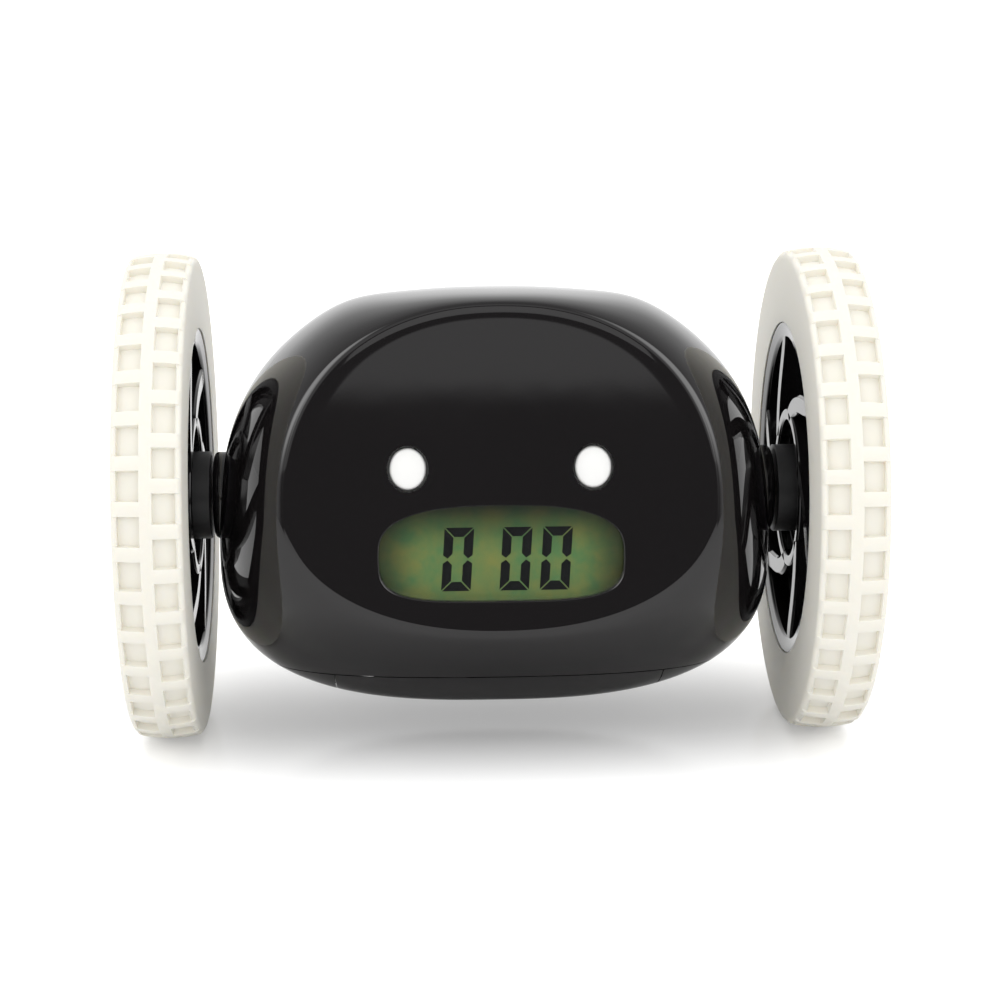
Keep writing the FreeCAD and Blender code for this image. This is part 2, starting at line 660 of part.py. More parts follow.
def makeBatteryBox():
    wallX = size("cellLength/2 + contactGap")
    thick = size("boxWall")
    places = cellPlaces()
    front = places[0] - size("cellRadius + boxGap")
    rear = places[-1] + size("cellRadius + boxGap")
    roof = size("cellHeight + cellRadius + boxGap")
    outside = block((-wallX - thick, front - thick, -far), (wallX + thick, rear + thick, roof + thick))
    inside = block((-wallX, front, -far - 1), (wallX, rear, roof))
    foot = size("footReach")
    inset = size("footInset")
    feet = block((-foot, front + inset, -far), (foot, rear - inset, size("footTop")))
    tray = outside.fuse(feet).removeSplitter().cut(inside).common(bodySolid(wall + size("boxGap") / 2))
    formed("battery_box", tray, hung)


# ---------------------------------------------------------------- drive train
def trainPlaces():
    """Centres (y, z) of the idler and the motor pinion about the axle line."""
    reach = size("gearModule * (wheelTeeth + pinionTeeth) / 2")
    first, second = math.radians(size("trainAngle")), math.radians(size("motorAngle"))
    idler = (reach * math.cos(first), reach * math.sin(first))
    motor = (idler[0] + reach * math.cos(second), idler[1] + reach * math.sin(second))
    return idler, motor


def gearDisc(teeth, start, end, phase):
    """Spur gear along X from start to end, one tooth centred at the phase angle."""
    pitch = size("gearModule") * teeth / 2
    addendum, dedendum = size("gearModule"), size("1.25 * gearModule")
    half = size("gearModule") * math.pi / 4 - size("toothThin") / 2
    slope = math.tan(math.radians(20))
    root, tip = pitch - dedendum, pitch + addendum
    points = []
    for i in range(teeth):
        centre = phase + 2 * math.pi * i / teeth
        for radius, side in ((root, -1), (tip, -1), (tip, 1), (root, 1)):
            thick = max(half + (pitch - radius) * slope, 0.08)
            angle = centre + side * math.asin(min(thick / radius, 0.98 * math.sin(math.pi / teeth)))
            points.append(Vector(start, radius * math.cos(angle), radius * math.sin(angle)))
    wire = Part.makePolygon(points + points[:1])
    return Part.Face(wire).extrude(Vector(end - start, 0, 0))


def hungAt(place):
    """Placement of a piece drawn about an axis that lies at (y, z) of the clock body."""
    return hung * Placement(Vector(0, *place), Rotation())


def drum(radius, idler, motor, nose, start, end):
    """Oblong prism round the axle line and the idler's line, with a nose at the pinion."""
    reach = math.hypot(*idler)
    up = Vector(0, -idler[1], idler[0]) * (radius / reach)
    corners = [up, up + Vector(0, *idler), Vector(0, *idler) - up, up * -1]
    corners = [c + Vector(start, 0, 0) for c in corners]
    bridge = Part.Face(Part.makePolygon(corners + corners[:1])).extrude(Vector(end - start, 0, 0))
    ends = [roundX(r, y, z, start, end) for r, (y, z) in ((radius, (0, 0)), (radius, idler), (nose, motor))]
    return bridge.fuse(ends).removeSplitter()


def makeDrive(side, name):
    idler, motor = trainPlaces()
    wallThick = size("caseWall")
    near, farX = size("caseNear"), size("caseFar")
    fit, press = size("runningFit"), size("pressGap")
    axle, arbor = size("axleRadius"), size("arborRadius")
    arborInset = size("arborInset")
    face, backing = size("gearFace"), size("gearBacking")
    teethSmall, teethLarge = int(size("pinionTeeth")), int(size("wheelTeeth"))
    firstPlane = near + wallThick + backing
    secondPlane = firstPlane + face + 2 * backing
    meshOne = math.radians(size("motorAngle")) + math.pi
    meshTwo = math.radians(size("trainAngle"))

    def span(a, b):
        return mirrored(side, a, b)

    # output gear on the axle, in mesh with the idler's small gear
    outPhase = meshTwo
    output = gearDisc(teethLarge, *span(secondPlane, secondPlane + face), outPhase)
    hub = roundX(size("gearHub"), 0, 0, *span(secondPlane, farX - wallThick - backing))
    output = output.fuse(hub).cut(roundX(axle + press, 0, 0, *span(near, farX)))
    formed(name + "_output_gear", output.removeSplitter(), hung)

    # idler: large gear driven by the motor pinion, small gear driving the output
    smallPhase = meshTwo + math.pi + math.pi / teethSmall
    largePhase = meshOne + math.pi
    large = gearDisc(teethLarge, *span(firstPlane, firstPlane + face), largePhase)
    small = gearDisc(teethSmall, *span(firstPlane + face - 0.1, secondPlane + face), smallPhase)
    idlerGear = large.fuse(small).cut(roundX(arbor + fit, 0, 0, *span(near, farX)))
    formed(name + "_idler_gear", idlerGear.removeSplitter(), hungAt(idler))

    # motor pinion
    pinionPhase = meshOne + math.pi / teethSmall
    pinion = gearDisc(teethSmall, *span(firstPlane, firstPlane + face), pinionPhase)
    shaft = roundX(size("motorShaft"), 0, 0, *span(near - 4, firstPlane + face))
    pinion = pinion.fuse(shaft)
    formed(name + "_motor_pinion", pinion.removeSplitter(), hungAt(motor))

    # arbor of the idler, held by the case and its cover
    inner, outer = "caseNear + arborInset", "caseFar - arborInset"
    pin = turned(name + "Arbor", [
        (inner, "0"), (inner, "arborRadius"), (outer, "arborRadius"), (outer, "0")])
    keep(pin, name + "_idler_arbor", hungAt(idler) * facing(side))

    # case: a cup open towards the wheel, closed by a flat cover
    room = size("gearModule * (wheelTeeth / 2 + 1) + tipGap")
    nose = size("gearModule * (pinionTeeth / 2 + 1) + tipGap")
    clear = bodySolid(wall + size("boxGap"))
    cup = drum(room + wallThick, idler, motor, nose + wallThick, *span(near, farX - wallThick))
    cup = cup.common(clear)
    holes = [drum(room, idler, motor, nose, *span(near + wallThick, farX)),
             roundX(axle + fit, 0, 0, *span(near - 1, near + wallThick + 1)),
             roundX(arbor + press, idler[0], idler[1], *span(near + arborInset, near + wallThick + 1)),
             roundX(size("motorShaft") + 1.0, motor[0], motor[1], *span(near - 1, near + wallThick + 1))]
    formed(name + "_gear_case", cup.cut(holes), hung)

    low, high = span(farX - wallThick + 0.05, farX)
    cover = drum(room + wallThick, idler, motor, nose + wallThick, low, high).common(clear)
    holes = [roundX(axle + fit, 0, 0, low - 1, high + 1),
             roundX(arbor + press, idler[0], idler[1], *span(farX - wallThick - 1, farX - arborInset))]
    formed(name + "_gear_cover", cover.cut(holes), hung)

    # motor can with flattened sides, butted against the case
    start, end = span(near - 0.1 - size("motorLength"), near - 0.1)
    can = roundX(size("motorRadius"), 0, 0, start, end)
    flat = size("motorFlat")
    can = can.common(block((start, -flat - 2, -flat), (end, flat + 2, flat)))
    can = can.cut(roundX(size("motorShaft") + fit, 0, 0, *span(near - 5, near)))
    formed(name + "_motor", can, hungAt(motor))

    # plain bush in the shell's collar
    bore, low, high = "axleRadius + runningFit", "caseFar + bushInset", "collarEnd - stackGap"
    bush = turned(name + "Bush", [(low, bore), (low, "bushRadius"), (high, "bushRadius"), (high, bore)])
    keep(bush, name + "_axle_bush", hung * facing(side))


# ---------------------------------------------------------------- wheels
def makeTyre(side, name):
    """White rubber ring with two rows of square pockets round a centre rib."""
    near, end = "wheelInset", "wheelInset + tyreWidth"
    beadLow = "wheelInset + (tyreWidth - beadWidth)/2"
    beadHigh = "wheelInset + (tyreWidth + beadWidth)/2"
    body = turned(name + "Tyre", [
        (near, "tyreBore"), (beadLow, "tyreBore"), (beadLow, "tyreBore - beadHeight"),
        (beadHigh, "tyreBore - beadHeight"), (beadHigh, "tyreBore"), (end, "tyreBore"),
        (end, "wheelRadius - shoulderDepth"), (end + " - shoulderRun", "wheelRadius - crownDrop"),
        (end + " - crownRun", "wheelRadius"), (near + " + crownRun", "wheelRadius"),
        (near + " + shoulderRun", "wheelRadius - crownDrop"), (near, "wheelRadius - shoulderDepth")])
    tools = Part.makeCompound(pocketTools())
    cutter = doc.addObject("Part::Feature", name + "Pockets")
    cutter.Shape = tools
    return keep(lessen(name + "TyreCut", body, cutter), name + "_tyre", wheelPlace(side))


def pocketTools():
    """Cutters of every tread pocket, the second row half a pitch round from the first."""
    count = int(size("treadBlocks"))
    pitch = 2 * math.pi / count
    floor = size("wheelRadius - treadDepth")
    half = math.tan(pitch * size("pocketShare") / 2)
    tools = []
    for row in (0, 1):
        offset = size("(treadRib + pocketWidth) / 2") * (1 if row else -1)
        x = size("wheelInset + tyreWidth/2") + offset - size("pocketWidth") / 2
        for i in range(count):
            angle = math.degrees(pitch * (i + 0.5 * row))
            top = floor + 4
            corners = [Vector(x, -floor * half, floor), Vector(x, floor * half, floor),
                       Vector(x, top * half, top), Vector(x, -top * half, top)]
            prism = Part.Face(Part.makePolygon(corners + corners[:1]))
            prism = prism.extrude(Vector(size("pocketWidth"), 0, 0))
            prism.rotate(Vector(), Vector(1, 0, 0), angle)
            tools.append(prism)
    return tools


def makeRim(side, name):
    """Glossy dished rim: barrel with a bead groove, sloped lip, web, ring and hub."""
    near = "wheelInset + 0.2"
    end = "wheelInset + tyreWidth - 0.2"
    seat = "tyreBore - tyreFit"
    grooveLow = "wheelInset + (tyreWidth - beadWidth)/2 - tyreFit"
    grooveHigh = "wheelInset + (tyreWidth + beadWidth)/2 + tyreFit"
    groove = "tyreBore - beadHeight - tyreFit"
    webNear = "wheelInset + webDepth"
    webFar = "wheelInset + webDepth + webThickness"
    lip = "tyreBore - rimWall - lipSlope"
    body = turned(name + "Rim", [
        ("wheelInset - hubReach", "axleRadius + pressGap"), ("wheelInset - hubReach", "hubRadius"),
        (webNear, "hubRadius"), (webNear, "hubRingInner"), (webNear + " - spokeHeight", "hubRingInner"),
        (webNear + " - spokeHeight", "hubRingOuter"), (webNear, "hubRingOuter"), (webNear, lip),
        ("wheelInset + lipDepth", lip), (near, "tyreBore - rimWall/2"), (near, seat), (grooveLow, seat),
        (grooveLow, groove), (grooveHigh, groove), (grooveHigh, seat), (end, seat),
        (end, "tyreBore - rimWall"), (webFar + " + 1.0", lip), (webFar, lip), (webFar, "capRadius + 1.0"),
        (end + " - capHeight", "capRadius + 1.0"), (end + " - capHeight", "axleRadius + pressGap")])
    ribs = doc.addObject("Part::Feature", name + "Spokes")
    ribs.Shape = Part.makeCompound(spokeTools())
    rim = joined(name + "RimWhole", [body, ribs])
    return keep(rim, name + "_rim", wheelPlace(side))


def spokeTools():
    """Curved ribs that sweep round from the hub ring to the lip, on both faces of the web."""
    count = int(size("spokeCount"))
    inside = size("hubRingOuter - 0.6")
    outside = size("tyreBore - rimWall - lipSlope + 0.4")
    sweep = math.radians(size("spokeSweep"))
    half = size("spokeWidth") / 2
    webNear = size("wheelInset + webDepth")
    low = webNear - size("spokeHeight")
    high = webNear + size("webThickness + spokeHeight")
    ribs = []
    for i in range(count):
        start = math.radians(size("spokeStart")) + 2 * math.pi * i / count
        middle = (inside + outside) / 2

        def rim(radius, angle, offset):
            turn = angle + offset / radius
            return Vector(low, radius * math.cos(turn), radius * math.sin(turn))

        sides = []
        for offset in (-half, half):
            halfway = rim(middle, start + size("spokeEarly") * sweep, offset)
            arc = Part.Arc(rim(inside, start, offset), halfway, rim(outside, start + sweep, offset))
            sides.append(arc.toShape())
        ends = [Part.makeLine(rim(r, start + a, -half), rim(r, start + a, half))
                for r, a in ((inside, 0.0), (outside, sweep))]
        wire = Part.Wire([sides[0], ends[1], sides[1], ends[0]])
        ribs.append(Part.Face(wire).extrude(Vector(high - low, 0, 0)))
    return ribs


def makeAxle(side, name):
    start, tip = "axleInner", "axleRadius - axleBreak"
    end = "wheelInset + tyreWidth - capHeight - axleShort"
    axle = turned(name + "Axle", [
        (start, "0"), (start, tip), (start + " + axleBreak", "axleRadius"),
        (end + " - axleBreak", "axleRadius"), (end, tip), (end, "0")])
    keep(axle, name + "_axle", wheelPlace(side))


def makeHubCap(side, name):
    start = "wheelInset + tyreWidth - 0.2 - capHeight"
    body = turned(name + "Cap", [
        (start + " + 0.05", "0"), (start + " + 0.05", "capRadius"),
        (start + " + capHeight - 0.6", "capRadius"),
        (start + " + capHeight", "capRadius - 1.4"), (start + " + capHeight", "0")])
    return keep(body, name + "_hub_cap", wheelPlace(side))


makeFrontShell()
makeRearShell()
makeBatteryDoor()
makeDisplay()
makeMainBoard()
makeEyeButtons()
makeRearKeys()
makeSpeaker()
makeShellScrews()
makeBatteries()
makeBatteryBox()
for side, name in ((-1, "left"), (1, "right")):
    makeDrive(side, name)
    makeTyre(side, name)
    makeRim(side, name)
    makeAxle(side, name)
    makeHubCap(side, name)

doc.recompute()
for thing in doc.Objects:
    if "Invalid" in thing.State or "Error" in thing.State:
        raise RuntimeError("%s failed: %s" % (thing.Label, thing.State))
for node in nodes:
    if node.Shape.isNull() or not node.Shape.isValid():
        raise RuntimeError("%s has no valid shape" % node.Label)
os.makedirs("parts", exist_ok=True)
for node in nodes:
    node.Shape.exportStep("parts/%s.step" % node.Label)
print("%d sub-parts written" % len(nodes))
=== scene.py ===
import math

import bmesh
import bpy
import numpy as np
from mathutils import Matrix, Vector
from mathutils.bvhtree import BVHTree
from mathutils.interpolate import poly_3d_calc


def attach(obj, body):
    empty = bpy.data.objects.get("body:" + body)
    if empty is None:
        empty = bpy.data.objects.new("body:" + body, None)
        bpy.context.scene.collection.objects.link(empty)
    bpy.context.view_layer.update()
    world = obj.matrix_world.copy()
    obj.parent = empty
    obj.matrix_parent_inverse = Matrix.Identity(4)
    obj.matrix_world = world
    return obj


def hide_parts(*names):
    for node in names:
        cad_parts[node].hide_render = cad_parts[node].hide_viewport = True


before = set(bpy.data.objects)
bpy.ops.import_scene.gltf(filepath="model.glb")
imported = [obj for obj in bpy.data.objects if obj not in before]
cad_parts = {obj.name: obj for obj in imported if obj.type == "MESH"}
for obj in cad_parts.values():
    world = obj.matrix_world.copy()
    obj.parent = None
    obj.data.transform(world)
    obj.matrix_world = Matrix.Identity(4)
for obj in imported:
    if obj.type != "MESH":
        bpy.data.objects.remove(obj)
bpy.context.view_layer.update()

mm = 0.001

# the clock hangs tipped back on the axle line; shapes below are drawn upright about that line, in mm
stance = {"axleHeight": 44.5, "tilt": 9.0}
hung = (Matrix.Translation((0, 0, stance["axleHeight"] * mm))
        @ Matrix.Rotation(math.radians(-stance["tilt"]), 4, "X") @ Matrix.Scale(mm, 4))


def linear(code):
    # sRGB hex to linear RGBA
    channels = [int(code[i:i + 2], 16) / 255 for i in (1, 3, 5)]
    return [c / 12.92 if c <= 0.04045 else ((c + 0.055) / 1.055) ** 2.4 for c in channels] + [1.0]


def addNode(tree, kind, settings=None, links=None):
    # settings: attribute or input name -> value, with "stops" for a colour ramp's (position, linear colour)
    # links: input name -> output socket, or a node for its first output
    node = tree.nodes.new("ShaderNode" + kind)
    for name, value in (settings or {}).items():
        if name == "stops":
            elements = node.color_ramp.elements
            while len(elements) < len(value):
                elements.new(0.5)
            for element, (spot, colour) in zip(elements, value):
                element.position, element.color = spot, colour
        elif isinstance(name, str) and hasattr(node, name):
            setattr(node, name, value)
        else:
            node.inputs[name].default_value = value
    for name, source in (links or {}).items():
        tree.links.new(getattr(source, "outputs", [source])[0], node.inputs[name])
    return node


def newMaterial(name):
    material = bpy.data.materials.new(name)
    material.use_nodes = True
    tree = material.node_tree
    tree.nodes.clear()
    return material, tree


def finishMaterial(tree, shader):
    addNode(tree, "OutputMaterial", links={"Surface": shader})


def millimetres(tree, period):
    # object coordinates scaled so that one unit is the given period in mm
    place = addNode(tree, "TexCoord")
    scale = addNode(tree, "Mapping", {"Scale": (1 / (period * mm),) * 3}, {"Vector": place.outputs["Object"]})
    return scale


def mouldedPlastic(name, colour, roughness, ior, wave=6.0, waveDepth=0.004, speck=0.12, speckDepth=0.0015,
                   smudge=0.03, shade=0.08):
    # common moulded thermoplastic: long soft ripples from the tool, a fine grain and faint handling smudges
    material, tree = newMaterial(name)
    ripple = addNode(tree, "TexNoise", {"Scale": 1.0, "Detail": 1.0}, {"Vector": millimetres(tree, wave)})
    grain = addNode(tree, "TexNoise", {"Scale": 1.0, "Detail": 2.0}, {"Vector": millimetres(tree, speck)})
    blot = addNode(tree, "TexNoise", {"Scale": 1.0, "Detail": 4.0, "Roughness": 0.6},
                   {"Vector": millimetres(tree, wave * 3)})
    first = addNode(tree, "Bump", {"Distance": waveDepth * mm}, {"Height": ripple})
    second = addNode(tree, "Bump", {"Distance": speckDepth * mm},
                     {"Height": grain, "Normal": first})
    gloss = addNode(tree, "MapRange", {"From Min": 0.35, "From Max": 0.7, "To Min": roughness,
                                       "To Max": roughness + smudge}, {"Value": blot})
    base = linear(colour)
    deep = [c * (1 - shade) for c in base[:3]] + [1.0]
    tone = addNode(tree, "Mix", {"data_type": "RGBA", 6: deep, 7: base}, {0: blot})
    body = addNode(tree, "BsdfPrincipled", {"IOR": ior},
                   {"Base Color": tone.outputs[2], "Roughness": gloss, "Normal": second})
    finishMaterial(tree, body)
    return material, body


def workedMetal(name, colour, roughness, grain=0.05, grainDepth=0.002, stretch=12.0, patch=4.0, dull=0.12,
                shade=0.15):
    # bare or plated metal with the fine lines of turning, drawing or stamping and a little tarnish
    material, tree = newMaterial(name)
    place = addNode(tree, "TexCoord")
    fine = 1 / (grain * mm)
    scale = addNode(tree, "Mapping", {"Scale": (1 / (grain * stretch * mm), fine, fine)},
                    {"Vector": place.outputs["Object"]})
    lines = addNode(tree, "TexNoise", {"Scale": 1.0, "Detail": 2.0}, {"Vector": scale})
    tarnish = addNode(tree, "TexNoise", {"Scale": 1.0, "Detail": 3.0}, {"Vector": millimetres(tree, patch)})
    bump = addNode(tree, "Bump", {"Distance": grainDepth * mm}, {"Height": lines})
    gloss = addNode(tree, "MapRange", {"From Min": 0.3, "From Max": 0.7, "To Min": roughness,
                                       "To Max": roughness + dull}, {"Value": tarnish})
    base = linear(colour)
    deep = [c * (1 - shade) for c in base[:3]] + [1.0]
    tone = addNode(tree, "Mix", {"data_type": "RGBA", 6: deep, 7: base}, {0: tarnish})
    body = addNode(tree, "BsdfPrincipled", {"Metallic": 1.0},
                   {"Base Color": tone.outputs[2], "Roughness": gloss, "Normal": bump})
    finishMaterial(tree, body)
    return material


# ABS moulded in a mirror-polished tool: deep black that shows the room as a clear, slightly wavy image
glossBlackAbs, part = mouldedPlastic("GlossBlackAbs", "#161415", 0.035, 1.54, wave=9.0, waveDepth=0.006,
                                     speck=0.4, speckDepth=0.0004, smudge=0.015)
# the rims are the same plastic from a plainer tool, a little less sharp
rimBlackAbs, part = mouldedPlastic("RimBlackAbs", "#0f0e0f", 0.07, 1.54, wave=5.0, waveDepth=0.004,
                                   speck=0.3, speckDepth=0.0004)
# the hub sleeve has the satin skin of a plain tool
dullBlackAbs, part = mouldedPlastic("DullBlackAbs", "#151416", 0.38, 1.54, speck=0.5, speckDepth=0.004)
# silicone-like thermoplastic rubber: soft matt white that lets a little light through at its edges
whiteTyreRubber, part = mouldedPlastic("WhiteTyreRubber", "#edeae0", 0.55, 1.45, wave=8.0, waveDepth=0.01,
                                       speck=0.25, speckDepth=0.004, smudge=0.1, shade=0.02)
part.inputs["Subsurface Weight"].default_value = 0.25
part.inputs["Subsurface Radius"].default_value = (1.0, 0.85, 0.6)
part.inputs["Subsurface Scale"].default_value = 1.5 * mm
# ABS again, white and polished by hand: even white with a soft sheen
whiteButtonAbs, part = mouldedPlastic("WhiteButtonAbs", "#f4f4f2", 0.22, 1.54, speck=0.3, speckDepth=0.0006,
                                      shade=0.02)
# inner ABS parts straight from a spark-eroded tool: an even fine grain that kills the shine
blackMoulding, part = mouldedPlastic("BlackMoulding", "#232325", 0.42, 1.54, speck=0.35, speckDepth=0.006)
# polystyrene from the same kind of tool: off-white, evenly dull
whiteMoulding, part = mouldedPlastic("WhiteMoulding", "#dcdcd6", 0.4, 1.5, speck=0.35, speckDepth=0.005)
# injection-moulded acetal: milky and slightly waxy, with light inside its thin teeth
milkyAcetal, part = mouldedPlastic("MilkyAcetal", "#e6e4da", 0.32, 1.48, speck=0.2, speckDepth=0.003)
part.inputs["Subsurface Weight"].default_value = 0.2
part.inputs["Subsurface Scale"].default_value = 1.0 * mm
part.inputs["Subsurface Radius"].default_value = (1.0, 0.9, 0.7)
# steel with bright zinc plate: cool grey with a soft sheen
zincSteel = workedMetal("ZincPlatedSteel", "#b9bbbd", 0.28)
# deep-drawn steel can with its draw lines: plain grey, half dull
drawnSteel = workedMetal("DrawnMotorSteel", "#a7a8aa", 0.34, grain=0.08)
# nickel plate on spring steel: warm and bright
nickelSpring = workedMetal("NickelPlatedSpringSteel", "#c9c6bd", 0.2)
# brass turned on a lathe: yellow, with fine turning lines
turnedBrass = workedMetal("TurnedBrass", "#c7a257", 0.26)
# pressed and dark-passivated steel: dull charcoal
paintedSpeaker = workedMetal("PressedSpeakerFrame", "#4a4a4d", 0.4)


def solderMask():
    # fibreglass board under green lacquer: satin, with copper tracks showing as paler lines
    material, tree = newMaterial("GreenLacquerBoard")
    trackPitch, trackDepth = 2.2, 0.02
    tracks = addNode(tree, "TexBrick", {"Scale": 1.0, "Mortar Size": 0.09, "Color1": linear("#0d3d20"),
                                        "Color2": linear("#10482a"), "Mortar": linear("#1e6a3c")},
                     {"Vector": millimetres(tree, trackPitch)})
    bump = addNode(tree, "Bump", {"Distance": trackDepth * mm}, {"Height": tracks.outputs["Fac"]})
    body = addNode(tree, "BsdfPrincipled", {"Roughness": 0.28, "IOR": 1.52},
                   {"Base Color": tracks.outputs["Color"], "Normal": bump})
    finishMaterial(tree, body)
    return material


def cellJacket():
    # shrink film over a steel can: silver ends, dark wrap with one plain bright band
    material, tree = newMaterial("PrintedCellFilm")
    half, crease, creaseDepth = 22.3, 1.5, 0.03
    stops = ((0.0, "#b8b8b4"), (0.04, "#2b3a52"), (0.70, "#c8a24a"), (0.78, "#2b3a52"), (0.955, "#b8b8b4"))
    place = addNode(tree, "TexCoord")
    parts = addNode(tree, "SeparateXYZ", links={0: place.outputs["Object"]})
    along = addNode(tree, "MapRange", {"From Min": -half * mm, "From Max": half * mm},
                    {"Value": parts.outputs["X"]})
    ramp = addNode(tree, "ValToRGB", {"stops": [(spot, linear(colour)) for spot, colour in stops]},
                   {0: along})
    ramp.color_ramp.interpolation = "CONSTANT"
    crinkle = addNode(tree, "TexNoise", {"Scale": 1.0, "Detail": 2.0}, {"Vector": millimetres(tree, crease)})
    bump = addNode(tree, "Bump", {"Distance": creaseDepth * mm}, {"Height": crinkle})
    body = addNode(tree, "BsdfPrincipled", {"Metallic": 0.6, "Roughness": 0.25, "IOR": 1.5},
                   {"Base Color": ramp, "Normal": bump})
    finishMaterial(tree, body)
    return material


# display colours, and the painted shadow of the window frame towards the sides and upwards: from, to (mm) and
# what is left
display = {"cool": "#5c8350", "warm": "#84894a", "mottle": 5.0, "sides": (12.5, 21.5, 0.32),
           "upper": (40.5, 50.5, 0.06), "grain": 0.12, "grainDepth": 0.004}


def displayGlass():
    # liquid crystal cell over a brushed reflector: olive green, slightly mottled, with a painted shadow of
    # the window frame darkening it towards the sides and the top
    material, tree = newMaterial("LiquidCrystalGlass")
    mottle = addNode(tree, "TexNoise", {"Scale": 1.0, "Detail": 3.0, "Roughness": 0.6},
                     {"Vector": millimetres(tree, display["mottle"])})
    tone = addNode(tree, "ValToRGB",
                   {"stops": [(0.35, linear(display["cool"])), (0.7, linear(display["warm"]))]}, {0: mottle})
    place = addNode(tree, "TexCoord")
    parts = addNode(tree, "SeparateXYZ", links={0: place.outputs["Object"]})
    aside = addNode(tree, "Math", {"operation": "ABSOLUTE"}, {0: parts.outputs["X"]})
    # painted shadow: the colour is darkened towards the sides and the top, where the window frame shades the
    # display
    frameShadows = []
    for key, way in (("sides", aside), ("upper", parts.outputs["Z"])):
        near, away, left = display[key]
        paintedFrameShadow = addNode(tree, "MapRange", {"interpolation_type": "SMOOTHSTEP", "From Min": near * mm,
                                          "From Max": away * mm, "To Min": 1.0, "To Max": left},
                       {"Value": way})
        frameShadows.append(paintedFrameShadow)
    shade = addNode(tree, "Math", {"operation": "MULTIPLY"}, {0: frameShadows[0], 1: frameShadows[1]})
    shadowedTone = addNode(tree, "Mix", {"data_type": "RGBA", "blend_type": "MULTIPLY", 0: 1.0},
                     {6: tone, 7: shade})
    grain = addNode(tree, "TexNoise", {"Scale": 1.0, "Detail": 1.0},
                    {"Vector": millimetres(tree, display["grain"])})
    bump = addNode(tree, "Bump", {"Distance": display["grainDepth"] * mm}, {"Height": grain})
    body = addNode(tree, "BsdfPrincipled", {"Roughness": 0.2, "IOR": 1.5},
                   {"Base Color": shadowedTone.outputs[2], "Normal": bump})
    finishMaterial(tree, body)
    return material


def segmentInk():
    # the switched segments look like black ink with a cold sheen under the polariser
    material, tree = newMaterial("DarkenedSegment")
    speck = 0.3
    fine = addNode(tree, "TexNoise", {"Scale": 1.0, "Detail": 1.0}, {"Vector": millimetres(tree, speck)})
    tone = addNode(tree, "Mix", {"data_type": "RGBA", 6: linear("#07080a"), 7: linear("#0b0c0f")}, {0: fine})
    body = addNode(tree, "BsdfPrincipled", {"Roughness": 0.15, "IOR": 1.5}, {"Base Color": tone.outputs[2]})
    finishMaterial(tree, body)
    return material


def clearAcrylic():
    # cast acrylic window: nearly all light goes through, with a thin reflection on top
    material, tree = newMaterial("ClearAcrylic")
    wave, waveDepth = 9.0, 0.003
    through = addNode(tree, "BsdfTransparent", {"Color": (0.97, 0.98, 0.97, 1)})
    smooth = addNode(tree, "TexNoise", {"Scale": 1.0, "Detail": 1.0}, {"Vector": millimetres(tree, wave)})
    bump = addNode(tree, "Bump", {"Distance": waveDepth * mm}, {"Height": smooth})
    shine = addNode(tree, "BsdfGlossy", {"Roughness": 0.03}, {"Normal": bump})
    # a pane mirrors more towards grazing angles, alike on its front and its back
    aslant = addNode(tree, "LayerWeight", {"Blend": 0.5})
    steep = addNode(tree, "Math", {"operation": "POWER", 1: 5.0}, {0: aslant.outputs["Facing"]})
    edge = addNode(tree, "MapRange", {"To Min": 0.039, "To Max": 1.0}, {"Value": steep})
    mix = addNode(tree, "MixShader", links={0: edge, 1: through, 2: shine})
    finishMaterial(tree, mix)
    return material


boardLacquer = solderMask()
cellFilm = cellJacket()
lcdGlass = displayGlass()
lcdInk = segmentInk()
clearLens = clearAcrylic()
print("materials made")


def addObject(name, data):
    obj = bpy.data.objects.new(name, data)
    bpy.context.scene.collection.objects.link(obj)
    return obj


def seat(name, mesh, body, material, sharp=None, node=None):
    # puts a finished mesh on its body, in place of a node if one is named; edges steeper than the sharp
    # angle stay crisp
    mesh.materials.clear()
    mesh.materials.append(material)
    obj = addObject(name, mesh)
    if sharp is not None:
        mesh.shade_smooth()
        mesh.set_sharp_from_angle(angle=math.radians(sharp))
    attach(obj, body)
    if node:
        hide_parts(node)


def solidMesh(name, verts, faces, weld=True):
    # closed mesh with its normals outwards; welding joins corners that coincide
    mesh = bpy.data.meshes.new(name)
    mesh.from_pydata([tuple(float(c) for c in v) for v in verts], [], faces)
    bm = bmesh.new()
    bm.from_mesh(mesh)
    if weld:
        bmesh.ops.remove_doubles(bm, verts=bm.verts, dist=1e-7)
    bmesh.ops.recalc_face_normals(bm, faces=bm.faces)
    bm.to_mesh(mesh)
    bm.free()
    return mesh


def ringFaces(a, b):
    # quads between two rings of vertex numbers; where corners are shared a triangle is left
    faces = []
    for k in range(len(a)):
        n = (k + 1) % len(a)
        face = list(dict.fromkeys((a[k], b[k], b[n], a[n])))
        if len(face) > 2:
            faces.append(face)
    return faces


def latheX(profile, count, closed=True):
    # turn a list of (x, radius) about the X axis; radius 0 closes to a point
    verts, rings = [], []
    for x, radius in profile:
        if radius <= 1e-9:
            rings.append([len(verts)] * count)
            verts.append((x, 0, 0))
            continue
        rings.append(list(range(len(verts), len(verts) + count)))
        for k in range(count):
            angle = 2 * math.pi * k / count
            verts.append((x, radius * math.cos(angle), radius * math.sin(angle)))
    pairs = list(zip(rings, rings[1:]))
    if closed:
        pairs.append((rings[-1], rings[0]))
    return verts, [face for a, b in pairs for face in ringFaces(a, b)]


